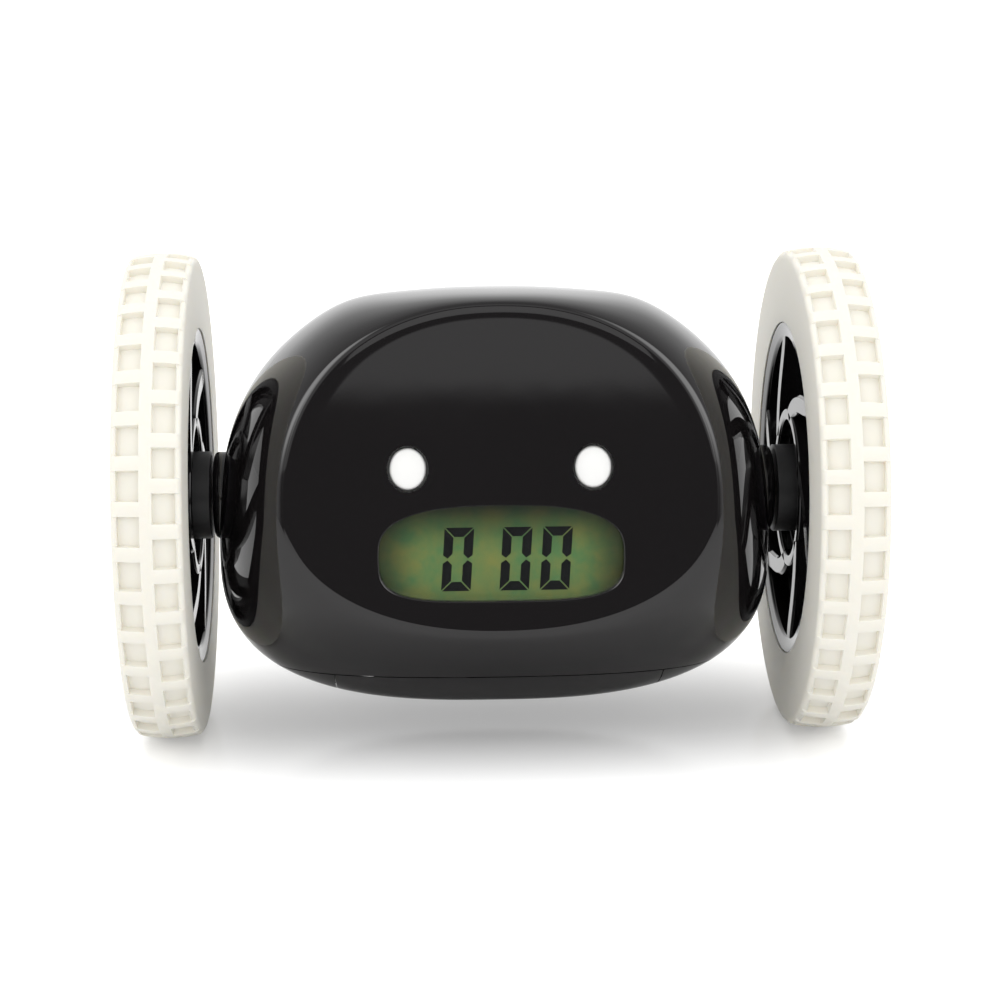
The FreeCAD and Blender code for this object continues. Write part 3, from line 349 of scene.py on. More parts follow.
def rounded(profile, radius, steps=4):
    # round the corners of a closed outline; radius is one value or one per corner
    result = []
    count = len(profile)
    for i, corner in enumerate(profile):
        here = radius[i] if isinstance(radius, (list, tuple)) else radius
        before, after = Vector(profile[i - 1]), Vector(profile[(i + 1) % count])
        corner = Vector(corner)
        if here <= 0:
            result.append(tuple(corner))
            continue
        first, second = (before - corner), (after - corner)
        reach = min(here, first.length * 0.45, second.length * 0.45)
        start, end = corner + first.normalized() * reach, corner + second.normalized() * reach
        for k in range(steps + 1):
            t = k / steps
            result.append(tuple(start * (1 - t) ** 2 + corner * (2 * t * (1 - t)) + end * t ** 2))
    return result


# the ovoid: a face plane and a back plane joined to the widest section by superelliptic flanks
ovoid = {
    "halfWidth": 50.6, "top": 37.95, "bottom": 38.5, "widest": -9.5, "crown": 2.65, "belly": 2.75,
    "shoulder": 1.05, "shoulderAt": 27.0, "shoulderRun": 8.5,
    "faceHalfWidth": 37.5, "faceTop": 34.6, "faceBottom": 22.2, "faceWidest": 0.6, "faceBulge": 2.2,
    "faceDepth": 34.5, "creaseLift": 0.2, "creaseSoft": 0.5,
    "rearHalfWidth": 24.0, "rearTop": 20.0, "rearBottom": 16.0, "rearWidest": -3.0, "rearDepth": 36.0,
    "edgeBulge": 2.2, "flankBulge": 1.75,
    "wall": 2.0,
}
# the face is dished a little under its upper edge, which leaves a rounded brow
brow = {"depth": 0.22, "width": 2.2, "from": -20.0, "to": 33.0}
ringCount = 264


def form(keys, inset):
    # half width, top, bottom, height of the widest point, bulge above it and bulge below it
    return np.array([ovoid[key] - inset * (i < 3) for i, key in enumerate(keys)])


def girth(inset):
    return form(("halfWidth", "top", "bottom", "widest", "crown", "belly"), inset)


def faceForm(inset):
    return form(("faceHalfWidth", "faceTop", "faceBottom", "faceWidest", "faceBulge", "faceBulge"), inset)


def rearForm(inset):
    return form(("rearHalfWidth", "rearTop", "rearBottom", "rearWidest", "edgeBulge", "edgeBulge"), inset)


def outline(shape, count):
    # superellipse with its own upper and lower half, evenly spaced from the top round through +X
    width, top, bottom, widest, upper, lower = shape
    t = np.linspace(0, math.pi, 1500)
    cos, sin = np.cos(t), np.sin(t)
    bulge = np.where(cos > 0, upper, lower)
    reach = np.where(cos > 0, top - widest, bottom + widest)
    x = width * np.abs(sin) ** (2 / bulge)
    z = widest + reach * np.sign(cos) * np.abs(cos) ** (2 / bulge)
    run = np.concatenate(([0], np.cumsum(np.hypot(np.diff(x), np.diff(z)))))
    spots = np.linspace(0, run[-1], count // 2 + 1)
    x, z = np.interp(spots, run, x), np.interp(spots, run, z)
    x[0] = x[-1] = 0.0
    return np.concatenate((np.stack((x, z), 1), np.stack((-x[1:-1][::-1], z[1:-1][::-1]), 1)))


def softMin(a, b, width):
    # the smaller of two values, with the kink between them rounded off
    h = np.maximum(width - np.abs(a - b), 0) / width
    return np.minimum(a, b) - h * h * width / 4


def dishDepth(x, z, inset):
    # depth of the dish under the brow, from how far a point lies inside the outline of the face
    w, top, bottom, mid, n, _ = faceForm(inset)
    reach = np.where(z > mid, top - mid, bottom + mid)
    f = ((np.abs(x) / w) ** n + (np.abs(z - mid) / reach) ** n) ** (1 / n)
    inside = np.maximum(1 - f, 0) * np.minimum(w, reach)
    t = np.clip(inside / brow["width"], 0, 1)
    high = np.clip((z - brow["from"]) / (brow["to"] - brow["from"]), 0, 1)
    return brow["depth"] * t * t * (3 - 2 * t) * high


def halfRings(front, inset):
    # rings from the middle of the end plane out to the widest section
    o = ovoid
    p = o["flankBulge"] if front else o["edgeBulge"]
    middle = girth(inset)
    rings = []
    if front:
        depth = o["faceDepth"] - inset
        lifted = depth + o["creaseLift"]
        first = (1 - (depth / lifted) ** p) ** (1 / p)
        edge = faceForm(inset)
        start = (edge - first * middle) / (1 - first)
        start[3:] = edge[3:]
    else:
        depth = lifted = o["rearDepth"] - inset
        first = 0.0
        edge = start = rearForm(inset)
    core = np.array([0, edge[3]])
    border = outline(edge, ringCount)
    for share in (0.0, 0.08, 0.2, 0.32, 0.44, 0.55, 0.65, 0.73, 0.79, 0.84, 0.88, 0.905, 0.93, 0.95, 0.965,
                  0.98, 0.99):
        points = core + (border - core) * share
        y = np.full(len(points), depth)
        if front:
            y = y - dishDepth(points[:, 0], points[:, 1], inset)
        rings.append((points, y))
    # rings lie close together by the crease and by the widest section
    crease = [0, 0.004, 0.009, 0.015, 0.022, 0.03, 0.04, 0.052]
    flank = 0.065 + 0.935 * np.sin(np.linspace(0, 1, 46) * math.pi / 2)
    for blend in first + (1 - first) * np.concatenate((crease, flank)):
        shape = start + (middle - start) * blend
        shape[3:] = edge[3:] + (middle[3:] - edge[3:]) * blend
        points = outline(shape, ringCount)
        aside = (np.abs(points[:, 0]) - o["shoulderAt"]) / o["shoulderRun"]
        points[:, 1] += o["shoulder"] * np.exp(-aside ** 2) * (points[:, 1] > 0) * blend ** 2
        level = lifted * max(1 - blend ** p, 0) ** (1 / p)
        if front:
            level = float(softMin(level, depth, o["creaseSoft"])) if level > depth - 1 else level
        rings.append((points, np.full(len(points), level)))
    return rings


def ovoidMesh(inset):
    verts, ringIds = [], []
    front = halfRings(True, inset)
    rear = halfRings(False, inset)
    for rings, sign in ((front, -1), (rear[:-1][::-1], 1)):
        for points, level in rings:
            if np.ptp(points[:, 0]) < 1e-6:
                ringIds.append([len(verts)] * ringCount)
                verts.append((points[0, 0], sign * level[0], points[0, 1]))
            else:
                ringIds.append(list(range(len(verts), len(verts) + ringCount)))
                verts.extend((p[0], sign * l, p[1]) for p, l in zip(points, level))
    faces = [face for a, b in zip(ringIds, ringIds[1:]) for face in ringFaces(a, b)]
    return solidMesh("ovoid", verts, faces, weld=False)


def loft(rings):
    # closed solid through rings of equal count, capped at both ends
    count = len(rings[0])
    ringIds = [range(r * count, (r + 1) * count) for r in range(len(rings))]
    faces = [face for a, b in zip(ringIds, ringIds[1:]) for face in ringFaces(a, b)]
    faces += [list(ringIds[0])[::-1], list(ringIds[-1])]
    return solidMesh("loft", [p for ring in rings for p in ring], faces, weld=False)


def prism(shape, low, high):
    # straight solid along Y over an outline of (x, z) points
    return loft([[(x, y, z) for x, z in shape] for y in (low, high)])


def brick(low, high):
    corners = [(low[0], low[2]), (high[0], low[2]), (high[0], high[2]), (low[0], high[2])]
    return prism(corners, low[1], high[1])


def disc(x, z, radius, count=48):
    return [(x + radius * math.cos(2 * math.pi * k / count), z + radius * math.sin(2 * math.pi * k / count))
            for k in range(count)]


def opening(shape, plane, sign, flare, inner, steps=4):
    # cutter for a hole with a rounded mouth; shape(grow) gives the outline, sign is the side it opens to
    # in front of the face the cutter is a little wider, so that it leaves no skin there
    rings = [(flare + grow, plane + sign * ahead) for grow, ahead in ((0.3, 1.5), (0.3, 0.3), (0.02, 0.02))]
    for k in range(steps + 1):
        angle = math.pi / 2 * k / steps
        rings.append((flare * (1 - math.sin(angle)), plane - sign * flare * (1 - math.cos(angle))))
    rings.append((0.0, inner))
    return loft([[(x, y, z) for x, z in shape(grow)] for grow, y in rings])


def merged(meshes):
    bm = bmesh.new()
    for mesh in meshes:
        bm.from_mesh(mesh)
    whole = bpy.data.meshes.new("merged")
    bm.to_mesh(whole)
    bm.free()
    return whole


def carve(mesh, steps):
    # exact booleans one after the other; steps are (operation, tool mesh)
    base = addObject("base", mesh.copy())
    tools = []
    for operation, tool in steps:
        tools.append(addObject("tool", tool))
        cut = base.modifiers.new("cut", "BOOLEAN")
        cut.operation, cut.solver, cut.object = operation, "EXACT", tools[-1]
    result = bpy.data.meshes.new_from_object(base.evaluated_get(bpy.context.evaluated_depsgraph_get()))
    for spare in [base] + tools:
        bpy.data.objects.remove(spare)
    return result


def shadeLike(mesh, reference, reach=0.02, turn=25.0, sharp=32.0):
    # faces lying on the reference surface take its smooth normals; cut faces keep their own
    tree = BVHTree.FromPolygons([v.co for v in reference.vertices], [p.vertices for p in reference.polygons])
    mesh.shade_smooth()
    mesh.set_sharp_from_angle(angle=math.radians(sharp))
    normals = [Vector(c.vector) for c in mesh.corner_normals]
    alike = math.cos(math.radians(turn))
    found = {}
    for polygon in mesh.polygons:
        spot, normal, index, distance = tree.find_nearest(polygon.center)
        if distance > reach or normal.dot(polygon.normal) < alike:
            continue
        for loop in polygon.loop_indices:
            vertex = mesh.loops[loop].vertex_index
            key = (vertex, normal.y > 0, index < len(reference.polygons) // 2)
            if key not in found:
                spot, flat, face, distance = tree.find_nearest(mesh.vertices[vertex].co)
                corners = [reference.vertices[i] for i in reference.polygons[face].vertices]
                weights = poly_3d_calc([c.co for c in corners], spot)
                smooth = sum((c.normal * w for c, w in zip(corners, weights)), Vector())
                found[key] = smooth.normalized() if smooth.length > 0.1 else flat
            if found[key].dot(polygon.normal) > 0.3:
                normals[loop] = found[key]
    mesh.normals_split_custom_set(normals)


def putShell(name, mesh, reference, body, node):
    shadeLike(mesh, reference)
    mesh.transform(hung)
    mesh.update()
    seat(name, mesh, body, glossBlackAbs, node=node)
    print(name, "cut")


# parting line low on the front, the battery door under it, and the ledge on which the door's edges lie
seams = {"height": -30.9, "gap": 0.2, "doorHalf": 29.2, "doorRear": 26.0, "doorWall": 0.9, "lap": 1.6,
         "lapFrom": 1.1, "lapFront": -20.0, "overlap": 0.5}
window = {"halfWidth": 21.05, "halfHeight": 8.2, "height": -8.4, "upper": 2.7, "lower": 3.9, "bevel": 0.4}
eyes = {"spread": 15.95, "height": 6.3, "halfWide": 3.175, "halfTall": 3.625, "gap": 0.4, "flare": 0.07,
        "sink": 0.5, "edge": 0.75, "round": 0.55, "dome": 0.16, "flange": 4.2, "flangeLip": 0.9,
        "flangeThick": 0.5, "stem": 1.5, "stemEnd": 8.2}
keys = {"spots": [(i - 1.5) * 9.5 for i in range(4)], "height": 11.0, "radius": 3.65, "flare": 0.3}
grille = {"radius": 9.6, "slot": 1.3, "pitch": 2.7, "count": 7, "height": -6.0, "flare": 0.2}
screwHoles = {"spots": [(27.0, 23.0), (-27.0, 23.0), (34.6, -18.5), (-34.6, -18.5)], "radius": 2.8,
              "seat": 14.0, "post": 3.4}
collar = {"radius": 8.0, "bore": 4.02, "from": 38.2, "to": 51.4, "round": 1.0, "lead": 0.3}
grips = {"radius": 2.2, "below": 1.6, "from": 19.0, "to": 24.0}
# curved hooks by which the door turns about its front edge; angles from the rear, upwards
hooks = {"inner": 5.4, "outer": 6.6, "near": 6.0, "far": 10.0, "root": -35.0, "lift": 60.0, "bury": 0.3}
# cutters reach this far past the body, and this far through its wall
far, through = 90.0, 4.0


def windowShape(grow):
    w = window
    top, bottom = w["height"] + w["halfHeight"] + grow, -(w["height"] - w["halfHeight"]) + grow
    return outline([w["halfWidth"] + grow, top, bottom, w["height"], w["upper"], w["lower"]], 160)


def eyeShape(side, grow):
    wide, tall = eyes["halfWide"] + grow, eyes["halfTall"] + grow
    return [(side * eyes["spread"] + wide * math.sin(a), eyes["height"] + tall * math.cos(a))
            for a in np.linspace(0, 2 * math.pi, 73)[:-1]]


def slotShape(index, grow):
    # upright slot with round ends; the slots fill a circle
    half = grille["slot"] / 2 + grow
    x = (index - (grille["count"] - 1) / 2) * grille["pitch"]
    rise = math.sqrt(grille["radius"] ** 2 - x * x) - grille["slot"] / 2
    return [(x + half * math.cos(a), grille["height"] + end * rise + half * math.sin(a))
            for end, start in ((1, 0), (-1, math.pi)) for a in np.linspace(start, start + math.pi, 13)]


def collarMesh(side):
    c = collar
    profile = [(c["from"], c["bore"]), (c["from"], c["radius"])]
    profile += [(c["to"] - c["round"] * (1 - math.sin(a)), c["radius"] - c["round"] * (1 - math.cos(a)))
                for a in np.linspace(0, math.pi / 2, 6)]
    profile += [(c["to"], c["bore"] + c["lead"]), (c["to"] - c["lead"], c["bore"])]
    return solidMesh("collar", *latheX([(side * x, r) for x, r in profile], 96))


def hingeDepth():
    # how far in front of the axle line the flank meets the seam
    o = ovoid
    share = (-seams["height"] - o["faceBottom"]) / (o["bottom"] - o["faceBottom"])
    return o["faceDepth"] * (1 - share ** o["edgeBulge"]) ** (1 / o["edgeBulge"])


def doorHook(side, skin):
    low, high = sorted((side * hooks["near"], side * hooks["far"]))
    angles = [math.radians(a) for a in np.linspace(hooks["root"], hooks["lift"], 20)]
    path = [(radius * math.cos(a), radius * math.sin(a))
            for radius, turn in ((hooks["outer"], angles), (hooks["inner"], angles[::-1])) for a in turn]
    hook = loft([[(x, y - hingeDepth(), z + seams["height"]) for y, z in path] for x in (low, high)])
    return carve(hook, [("INTERSECT", skin)])


def screwPost(x, z, low, high, middle):
    # a screw post ends inside the wall
    post = prism(disc(x, z, screwHoles["post"]), low, high)
    return carve(post, [("INTERSECT", middle)])


def makeFrontShell(skin, middle, collars):
    gap, seam, face = seams["gap"] / 2, seams["height"], -ovoid["faceDepth"]
    half = brick((-far, -far, seam + gap), (far, -gap, far))
    steps = [("INTERSECT", half)]
    steps += [("UNION", carve(c, [("INTERSECT", half)])) for c in collars]
    steps += [("UNION", screwPost(x, z, -gap, -far, middle)) for x, z in screwHoles["spots"]]
    steps.append(("DIFFERENCE", opening(windowShape, face, -1, window["bevel"], face + through)))
    for side in (-1, 1):
        hole = opening(lambda grow, s=side: eyeShape(s, eyes["gap"] + grow), face, -1, eyes["flare"],
                       face + through)
        steps.append(("DIFFERENCE", hole))
    putShell("front_shell_moulding", carve(skin, steps), skin, "clock_body", "front_shell")


def makeRearShell(skin, inner, middle, collars):
    # everything behind the parting plane, and in front of it all that lies under the seam
    gap, seam, back = seams["gap"] / 2, seams["height"], ovoid["rearDepth"]
    frontPart = brick((-far, -far, seam - gap), (far, gap, far))
    steps = [("DIFFERENCE", frontPart)]
    steps += [("UNION", carve(c, [("DIFFERENCE", frontPart)])) for c in collars]
    steps += [("UNION", screwPost(x, z, gap, far, middle)) for x, z in screwHoles["spots"]]
    for x, z in screwHoles["spots"]:
        steps.append(("DIFFERENCE", prism(disc(x, z, screwHoles["radius"]), screwHoles["seat"], far)))
    for x in keys["spots"]:
        hole = opening(lambda grow, x=x: disc(x, keys["height"], keys["radius"] + grow), back, 1,
                       keys["flare"], back - through)
        steps.append(("DIFFERENCE", hole))
    for index in range(grille["count"]):
        hole = opening(lambda grow, i=index: slotShape(i, grow), back, 1, grille["flare"], back - through, 2)
        steps.append(("DIFFERENCE", hole))
    side, end = seams["doorHalf"] + seams["gap"], seams["doorRear"] + seams["gap"]
    over, lap = seams["overlap"], seams["lap"]
    steps.append(("DIFFERENCE", brick((-side, -far, -far), (side, end, seam + over))))
    # a ledge inside the opening, on which the edges of the door lie
    ledge = carve(merged([ovoidMesh(seams["lapFrom"]), inner]), [
        ("INTERSECT", brick((-side - over, seams["lapFront"], -far), (side + over, end + over, seam - gap))),
        ("DIFFERENCE", brick((-side + lap, -far, -far), (side - lap, end - lap, far)))])
    steps.append(("UNION", ledge))
    putShell("rear_shell_moulding", carve(skin, steps), skin, "clock_body", "rear_shell")


def makeDoor(outer):
    half = seams["doorHalf"]
    inner = ovoidMesh(seams["doorWall"])
    inner.flip_normals()
    skin = merged([outer, inner])
    panel = brick((-half, -far, -far), (half, seams["doorRear"], seams["height"] - seams["gap"] / 2))
    grip = prism(disc(0, -ovoid["bottom"] - grips["below"], grips["radius"], 32), grips["from"], grips["to"])
    inside = ovoidMesh(seams["doorWall"] - hooks["bury"])
    steps = [("INTERSECT", panel), ("DIFFERENCE", grip)]
    steps += [("UNION", doorHook(side, inside)) for side in (-1, 1)]
    putShell("battery_door_panel", carve(skin, steps), skin, "battery_door", "battery_door")


def makeShells():
    outer, inner = ovoidMesh(0.0), ovoidMesh(ovoid["wall"])
    inner.flip_normals()
    skin = merged([outer, inner])
    middle = ovoidMesh(ovoid["wall"] / 2)
    collars = [collarMesh(side) for side in (-1, 1)]
    print("ovoid skin made")
    makeFrontShell(skin, middle, collars)
    makeRearShell(skin, inner, middle, collars)
    makeDoor(outer)


makeShells()


def makeEyeButton(side, node):
    # white domed button a little below the face, with a flange behind it and a stem to its switch
    e = eyes
    front = -ovoid["faceDepth"] + e["sink"]
    flange = front + e["flange"]
    steps = [(e["flangeLip"], flange + e["flangeThick"]), (e["flangeLip"], flange), (0.0, flange),
             (0.0, front + e["edge"])]
    steps += [(-e["round"] * (1 - math.cos(a)), front + e["edge"] - e["round"] * math.sin(a))
              for a in np.linspace(0.2, 1.35, 7)]
    rings = [[(x, y, z) for x, z in eyeShape(side, grow)] for grow, y in steps]
    centreX, centreZ, border = side * e["spread"], e["height"], rings[-1]
    for share in (0.93, 0.84, 0.72, 0.58, 0.42, 0.26, 0.1):
        rise = e["dome"] * (1 - share * share)
        rings.append([(centreX + (x - centreX) * share, y - rise, centreZ + (z - centreZ) * share)
                      for x, y, z in border])
    stem = prism(disc(centreX, centreZ, e["stem"], 32), flange, front + e["stemEnd"])
    mesh = merged([loft(rings), stem])
    mesh.transform(hung)
    seat(node + "_cap", mesh, node, whiteButtonAbs, 40, node)


makeEyeButton(-1, "hour_button")
makeEyeButton(1, "minute_button")
print("eye buttons made")


# wheels are drawn for the right side with +X away from the clock; the left one is the same turned round
wheel = {"inset": 53.8, "width": 12.0, "radius": 44.5, "bore": 30.75}
# two staggered rows of square pockets; the bead is the inner rib that sits in the rim's groove
tread = {"count": 36, "share": 0.68, "pocket": 3.9, "rib": 2.1, "depth": 1.3, "break": 0.16,
         "breakDepth": 0.07, "draft": 0.12, "crown": 0.8, "crownBulge": 2.4, "shoulder": 1.3,
         "shoulderDrop": 1.6, "notch": 0.35}
bead = {"width": 5.0, "height": 1.2}


def wheelPlace(side):
    turn = Matrix.Identity(4) if side > 0 else Matrix.Rotation(math.pi, 4, "Z")
    return Matrix.Translation((0, 0, stance["axleHeight"] * mm)) @ turn @ Matrix.Scale(mm, 4)


def treadLines():
    # positions across the tyre, each with its row and its part: 0 land, 1 edge, 2 floor, 3 shoulder
    middle, half = wheel["width"] / 2, (tread["rib"] + tread["pocket"]) / 2
    lines = []
    for row, centre in ((0, middle - half), (1, middle + half)):
        low, high = centre - tread["pocket"] / 2, centre + tread["pocket"] / 2
        lines += [(low - tread["break"], row, 0 if row else 3), (low, row, 1), (low + tread["draft"], row, 2),
                  (centre, row, 2), (high - tread["draft"], row, 2), (high, row, 1),
                  (high + tread["break"], row, 3 if row else 0)]
    return lines


def turnLines():
    # angles round one pitch, each with its state in the two rows: 0 land, 1 edge, 2 floor
    pitch = 360 / tread["count"]
    half = pitch * tread["share"] / 2
    soft = math.degrees(tread["break"] / wheel["radius"])
    steep = math.degrees(tread["draft"] / wheel["radius"])
    marks = set()
    for centre in (0.0, pitch / 2, -pitch / 2):
        for edge in (half + soft, half, half - steep):
            for sign in (-1, 1):
                marks.add(round((centre + sign * edge) % pitch, 4))
    marks |= {round(pitch * quarter / 4, 4) for quarter in range(4)}

    def state(angle, centre):
        away = abs((angle - centre + pitch / 2) % pitch - pitch / 2)
        return 2 if away <= half - steep + 1e-3 else 1 if away <= half + 1e-3 else 0

    return pitch, [(angle, (state(angle, 0.0), state(angle, pitch / 2))) for angle in sorted(marks)]


def crownHeight(x):
    # the tread is gently crowned across its width
    away = abs(x - wheel["width"] / 2) / (wheel["width"] / 2)
    return wheel["radius"] - tread["crown"] * away ** tread["crownBulge"]


def sideWall():
    # flat wall from the bore outwards, then the rounded shoulder up to the first pocket
    radius, bore, edge = wheel["radius"], wheel["bore"], treadLines()[0][0]
    turn = min(tread["shoulder"], edge * 0.85)
    low, tall = crownHeight(0.0), tread["shoulderDrop"] * turn
    footRun, headRun, cornerRun = 1.5, 6.0, 0.6
    wall = [(0.0, bore), (0.0, bore + footRun), (0.0, radius - headRun), (0.0, low - tall - cornerRun)]
    for angle in np.linspace(math.pi / 2, 0.15, 6):
        x = turn * (1 - math.sin(angle))
        height = low - tall * (1 - math.cos(angle))
        wall.append((x, height + (crownHeight(x) - low) * x / turn))
    return wall, turn


def makeTyre(side, name):
    width, bore = wheel["width"], wheel["bore"]
    nearSide, turn = sideWall()
    farSide = [(width - x, h) for x, h in nearSide[::-1]]
    foot, beadLow, beadHigh = bore - bead["height"], (width - bead["width"]) / 2, (width + bead["width"]) / 2
    groove = [(beadHigh, bore), (beadHigh, foot), (beadLow, foot), (beadLow, bore)]
    pitch, turns = turnLines()
    verts, columns = [], []
    for block in range(tread["count"]):
        for angle, states in turns:
            profile = list(nearSide)
            for x, row, level in treadLines():
                if level == 3:
                    depth = tread["notch"] * (states[row] == 2)
                else:
                    depth = (0.0, tread["breakDepth"], tread["depth"])[min(level, states[row])]
                profile.append((x, crownHeight(x) - depth))
            profile += farSide
            # beside each pocket the shoulder is notched a little
            for row, spots in ((0, range(5, 10)), (1, range(-10, -5))):
                for k in spots if states[row] == 2 else ():
                    x, h = profile[k]
                    profile[k] = (x, h - tread["notch"] * min(min(x, width - x) / turn, 1.0))
            profile += groove
            a = math.radians(block * pitch + angle)
            columns.append(range(len(verts), len(verts) + len(profile)))
            verts.extend((wheel["inset"] + x, h * math.cos(a), h * math.sin(a)) for x, h in profile)
    pairs = zip(columns, columns[1:] + columns[:1])
    faces = [face for here, after in pairs for face in ringFaces(here, after)]
    mesh = solidMesh(name, verts, faces)
    mesh.transform(wheelPlace(side))
    seat(name + "_rubber", mesh, name.split("_")[0] + "_wheel", whiteTyreRubber, 30, name)


# depths count from the inner face outwards: flat lip, barrel, narrow web ring, ring round the dished hub
rim = {"seat": 30.67, "start": 0.2, "lip": 30.2, "lipFoot": 28.2, "lipDepth": 0.55, "lipStep": 0.4,
       "barrel": 27.8, "webDepth": 4.4, "webInner": 24.2, "faceDepth": 0.7, "backDepth": 7.2,
       "outerRun": 1.4, "outerLip": 29.3, "grooveFrom": 3.42, "grooveTo": 8.58, "groove": 29.47,
       "ringInner": 12.6, "ringOuter": 14.7, "dishDepth": 3.2, "hub": 8.05, "hubReach": 2.0, "bore": 1.51,
       "overlap": 1.0, "capSeat": 8.0, "capHeight": 2.2, "end": 11.8}
spoke = {"count": 6, "width": 3.6, "chamfer": 0.45, "inner": 13.7, "outer": 28.4, "sweep": 44.0, "curl": 1.6,
         "start": 33.0, "sections": 25}
cap = {"gap": 0.05, "radius": 7.0, "side": 1.5, "round": 0.5, "domeRadius": 6.2, "domeFrom": 2.02,
       "dome": 0.16}


def spokeCentre(index, t):
    # the spokes leave the hub ring aslant and straighten towards the barrel
    s = spoke
    radius = s["inner"] + (s["outer"] - s["inner"]) * t
    angle = math.radians(s["start"] + index * 360 / s["count"] + s["sweep"] * (1 - (1 - t) ** s["curl"]))
    return Vector((radius * math.cos(angle), radius * math.sin(angle)))


def spokeMesh(index):
    # curved rib with chamfered long edges, from the ring round the hub out to the barrel
    half, c = spoke["width"] / 2, spoke["chamfer"]
    face, back = wheel["inset"] + rim["faceDepth"], wheel["inset"] + rim["backDepth"]
    section = [(face + c, -half), (face, c - half), (face, half - c), (face + c, half), (back - c, half),
               (back, half - c), (back, c - half), (back - c, -half)]
    rings, step = [], 0.01
    for t in np.linspace(0, 1, spoke["sections"]):
        along = (spokeCentre(index, min(t + step, 1.0)) - spokeCentre(index, max(t - step, 0.0))).normalized()
        across = Vector((-along.y, along.x))
        rings.append([(x, *(spokeCentre(index, t) + across * off)) for x, off in section])
    return loft(rings)


def turnedX(profile, radii, count=192):
    return solidMesh("turned", *latheX(rounded(profile, radii, 5), count))


def makeRim(side, name):
    # depths become places along the axle
    m = dict(rim)
    for depth in ("start", "lipDepth", "webDepth", "faceDepth", "backDepth", "dishDepth", "grooveFrom",
                  "grooveTo", "end"):
        m[depth] += wheel["inset"]
    body = name.split("_")[0] + "_wheel"
    stepEnd, capFoot = m["lipDepth"] + m["lipStep"], m["end"] - m["capHeight"]
    barrel = [(m["start"], m["seat"]), (m["start"], m["lip"]), (m["lipDepth"], m["lipFoot"]),
              (stepEnd, m["barrel"]), (m["webDepth"], m["barrel"]), (m["webDepth"], m["webInner"]),
              (m["backDepth"], m["webInner"]), (m["backDepth"], m["barrel"]),
              (m["end"] - m["outerRun"], m["barrel"]), (m["end"], m["outerLip"]), (m["end"], m["seat"]),
              (m["grooveTo"], m["seat"]), (m["grooveTo"], m["groove"]), (m["grooveFrom"], m["groove"]),
              (m["grooveFrom"], m["seat"])]
    outer = turnedX(barrel, [0.1, 0.25, 0.3, 0.3, 0.6, 0.5, 0.5, 0.6, 0.6, 0.4, 0.1, 0, 0, 0, 0])
    hub, seatRing = m["hub"] - m["overlap"], m["capSeat"] + m["overlap"]
    centre = [(m["dishDepth"], hub), (m["dishDepth"], m["ringInner"]), (m["faceDepth"], m["ringInner"]),
              (m["faceDepth"], m["ringOuter"]), (m["backDepth"], m["ringOuter"]), (m["backDepth"], seatRing),
              (capFoot, seatRing), (capFoot, hub)]
    middle = turnedX(centre, [0, 0.5, 0.45, 0.45, 0.6, 0.5, 0.3, 0])
    mesh = merged([outer, middle] + [spokeMesh(i) for i in range(spoke["count"])])
    # the hub's long sleeve keeps the dull skin of a plain tool
    reach = wheel["inset"] - m["hubReach"]
    sleeve = turnedX([(reach, m["bore"]), (reach, m["hub"]), (capFoot, m["hub"]), (capFoot, m["bore"])],
                     [0, 0.35, 0.2, 0])
    for pieceName, shape, material in ((name + "_moulding", mesh, rimBlackAbs),
                                       (name.split("_")[0] + "_hub_sleeve", sleeve, dullBlackAbs)):
        shape.transform(wheelPlace(side))
        seat(pieceName, shape, body, material, 38, name)


def makeHubCap(side, name):
    c = cap
    start = wheel["inset"] + rim["end"] - rim["capHeight"]
    profile = [(start + c["gap"], 0.0), (start + c["gap"], c["radius"]), (start + c["side"], c["radius"])]
    profile += [(start + c["side"] + c["round"] * math.sin(a), c["radius"] - c["round"] * (1 - math.cos(a)))
                for a in np.linspace(0.3, 1.3, 4)]
    profile += [(start + c["domeFrom"] + c["dome"] * (1 - (r / c["domeRadius"]) ** 2), r)
                for r in (5.8, 4.8, 3.6, 2.4, 1.2, 0.0)]
    mesh = solidMesh(name, *latheX(profile, 96, closed=False))
    mesh.transform(wheelPlace(side))
    seat(name + "_disc", mesh, name.split("_")[0] + "_wheel", rimBlackAbs, 40, name)


for side, name in ((-1, "left"), (1, "right")):
    makeTyre(side, name + "_tyre")
    makeRim(side, name + "_rim")
    makeHubCap(side, name + "_hub_cap")
print("wheels made")

# seven-segment digits "0 00", slanted, with mitred ends and thin gaps between the strokes
digits = {"centres": (-7.5, 2.6, 9.6), "halfWidth": 2.55, "bottom": -15.1, "top": -4.1, "stroke": 1.6,
          "gap": 0.16, "slant": 4.0, "thickness": 0.03, "back": -31.31}


def digitStrokes():
    # outlines of the six outer strokes of a nought
    w, t, g = digits["halfWidth"], digits["stroke"], digits["gap"]
    middle = (digits["bottom"] + digits["top"]) / 2
    for sign, edge in ((-1, digits["bottom"]), (1, digits["top"])):
        under = edge - sign * t
        yield [(-w + g, edge), (w - g, edge), (w - t - g, under), (-w + t + g, under)]
        for flip in (-1, 1):
            yield [(flip * w, edge - sign * g), (flip * w, middle + sign * (0.35 * t + g)),
                   (flip * (w - t / 2), middle + sign * g), (flip * (w - t), middle + sign * (0.5 * t + g)),
                   (flip * (w - t), under - sign * g)]


def makeDigits():
    d = digits
    middle, lean = (d["bottom"] + d["top"]) / 2, math.tan(math.radians(d["slant"]))
    shapes = [[(centre + x + lean * (z - middle), z) for x, z in corners]
              for centre in d["centres"] for corners in digitStrokes()]
    mesh = merged([prism(shape, d["back"] - d["thickness"], d["back"]) for shape in shapes])
    mesh.transform(hung)
    seat("lcd_segments", mesh, "clock_body", lcdInk, 30)


makeDigits()
print("digits made")

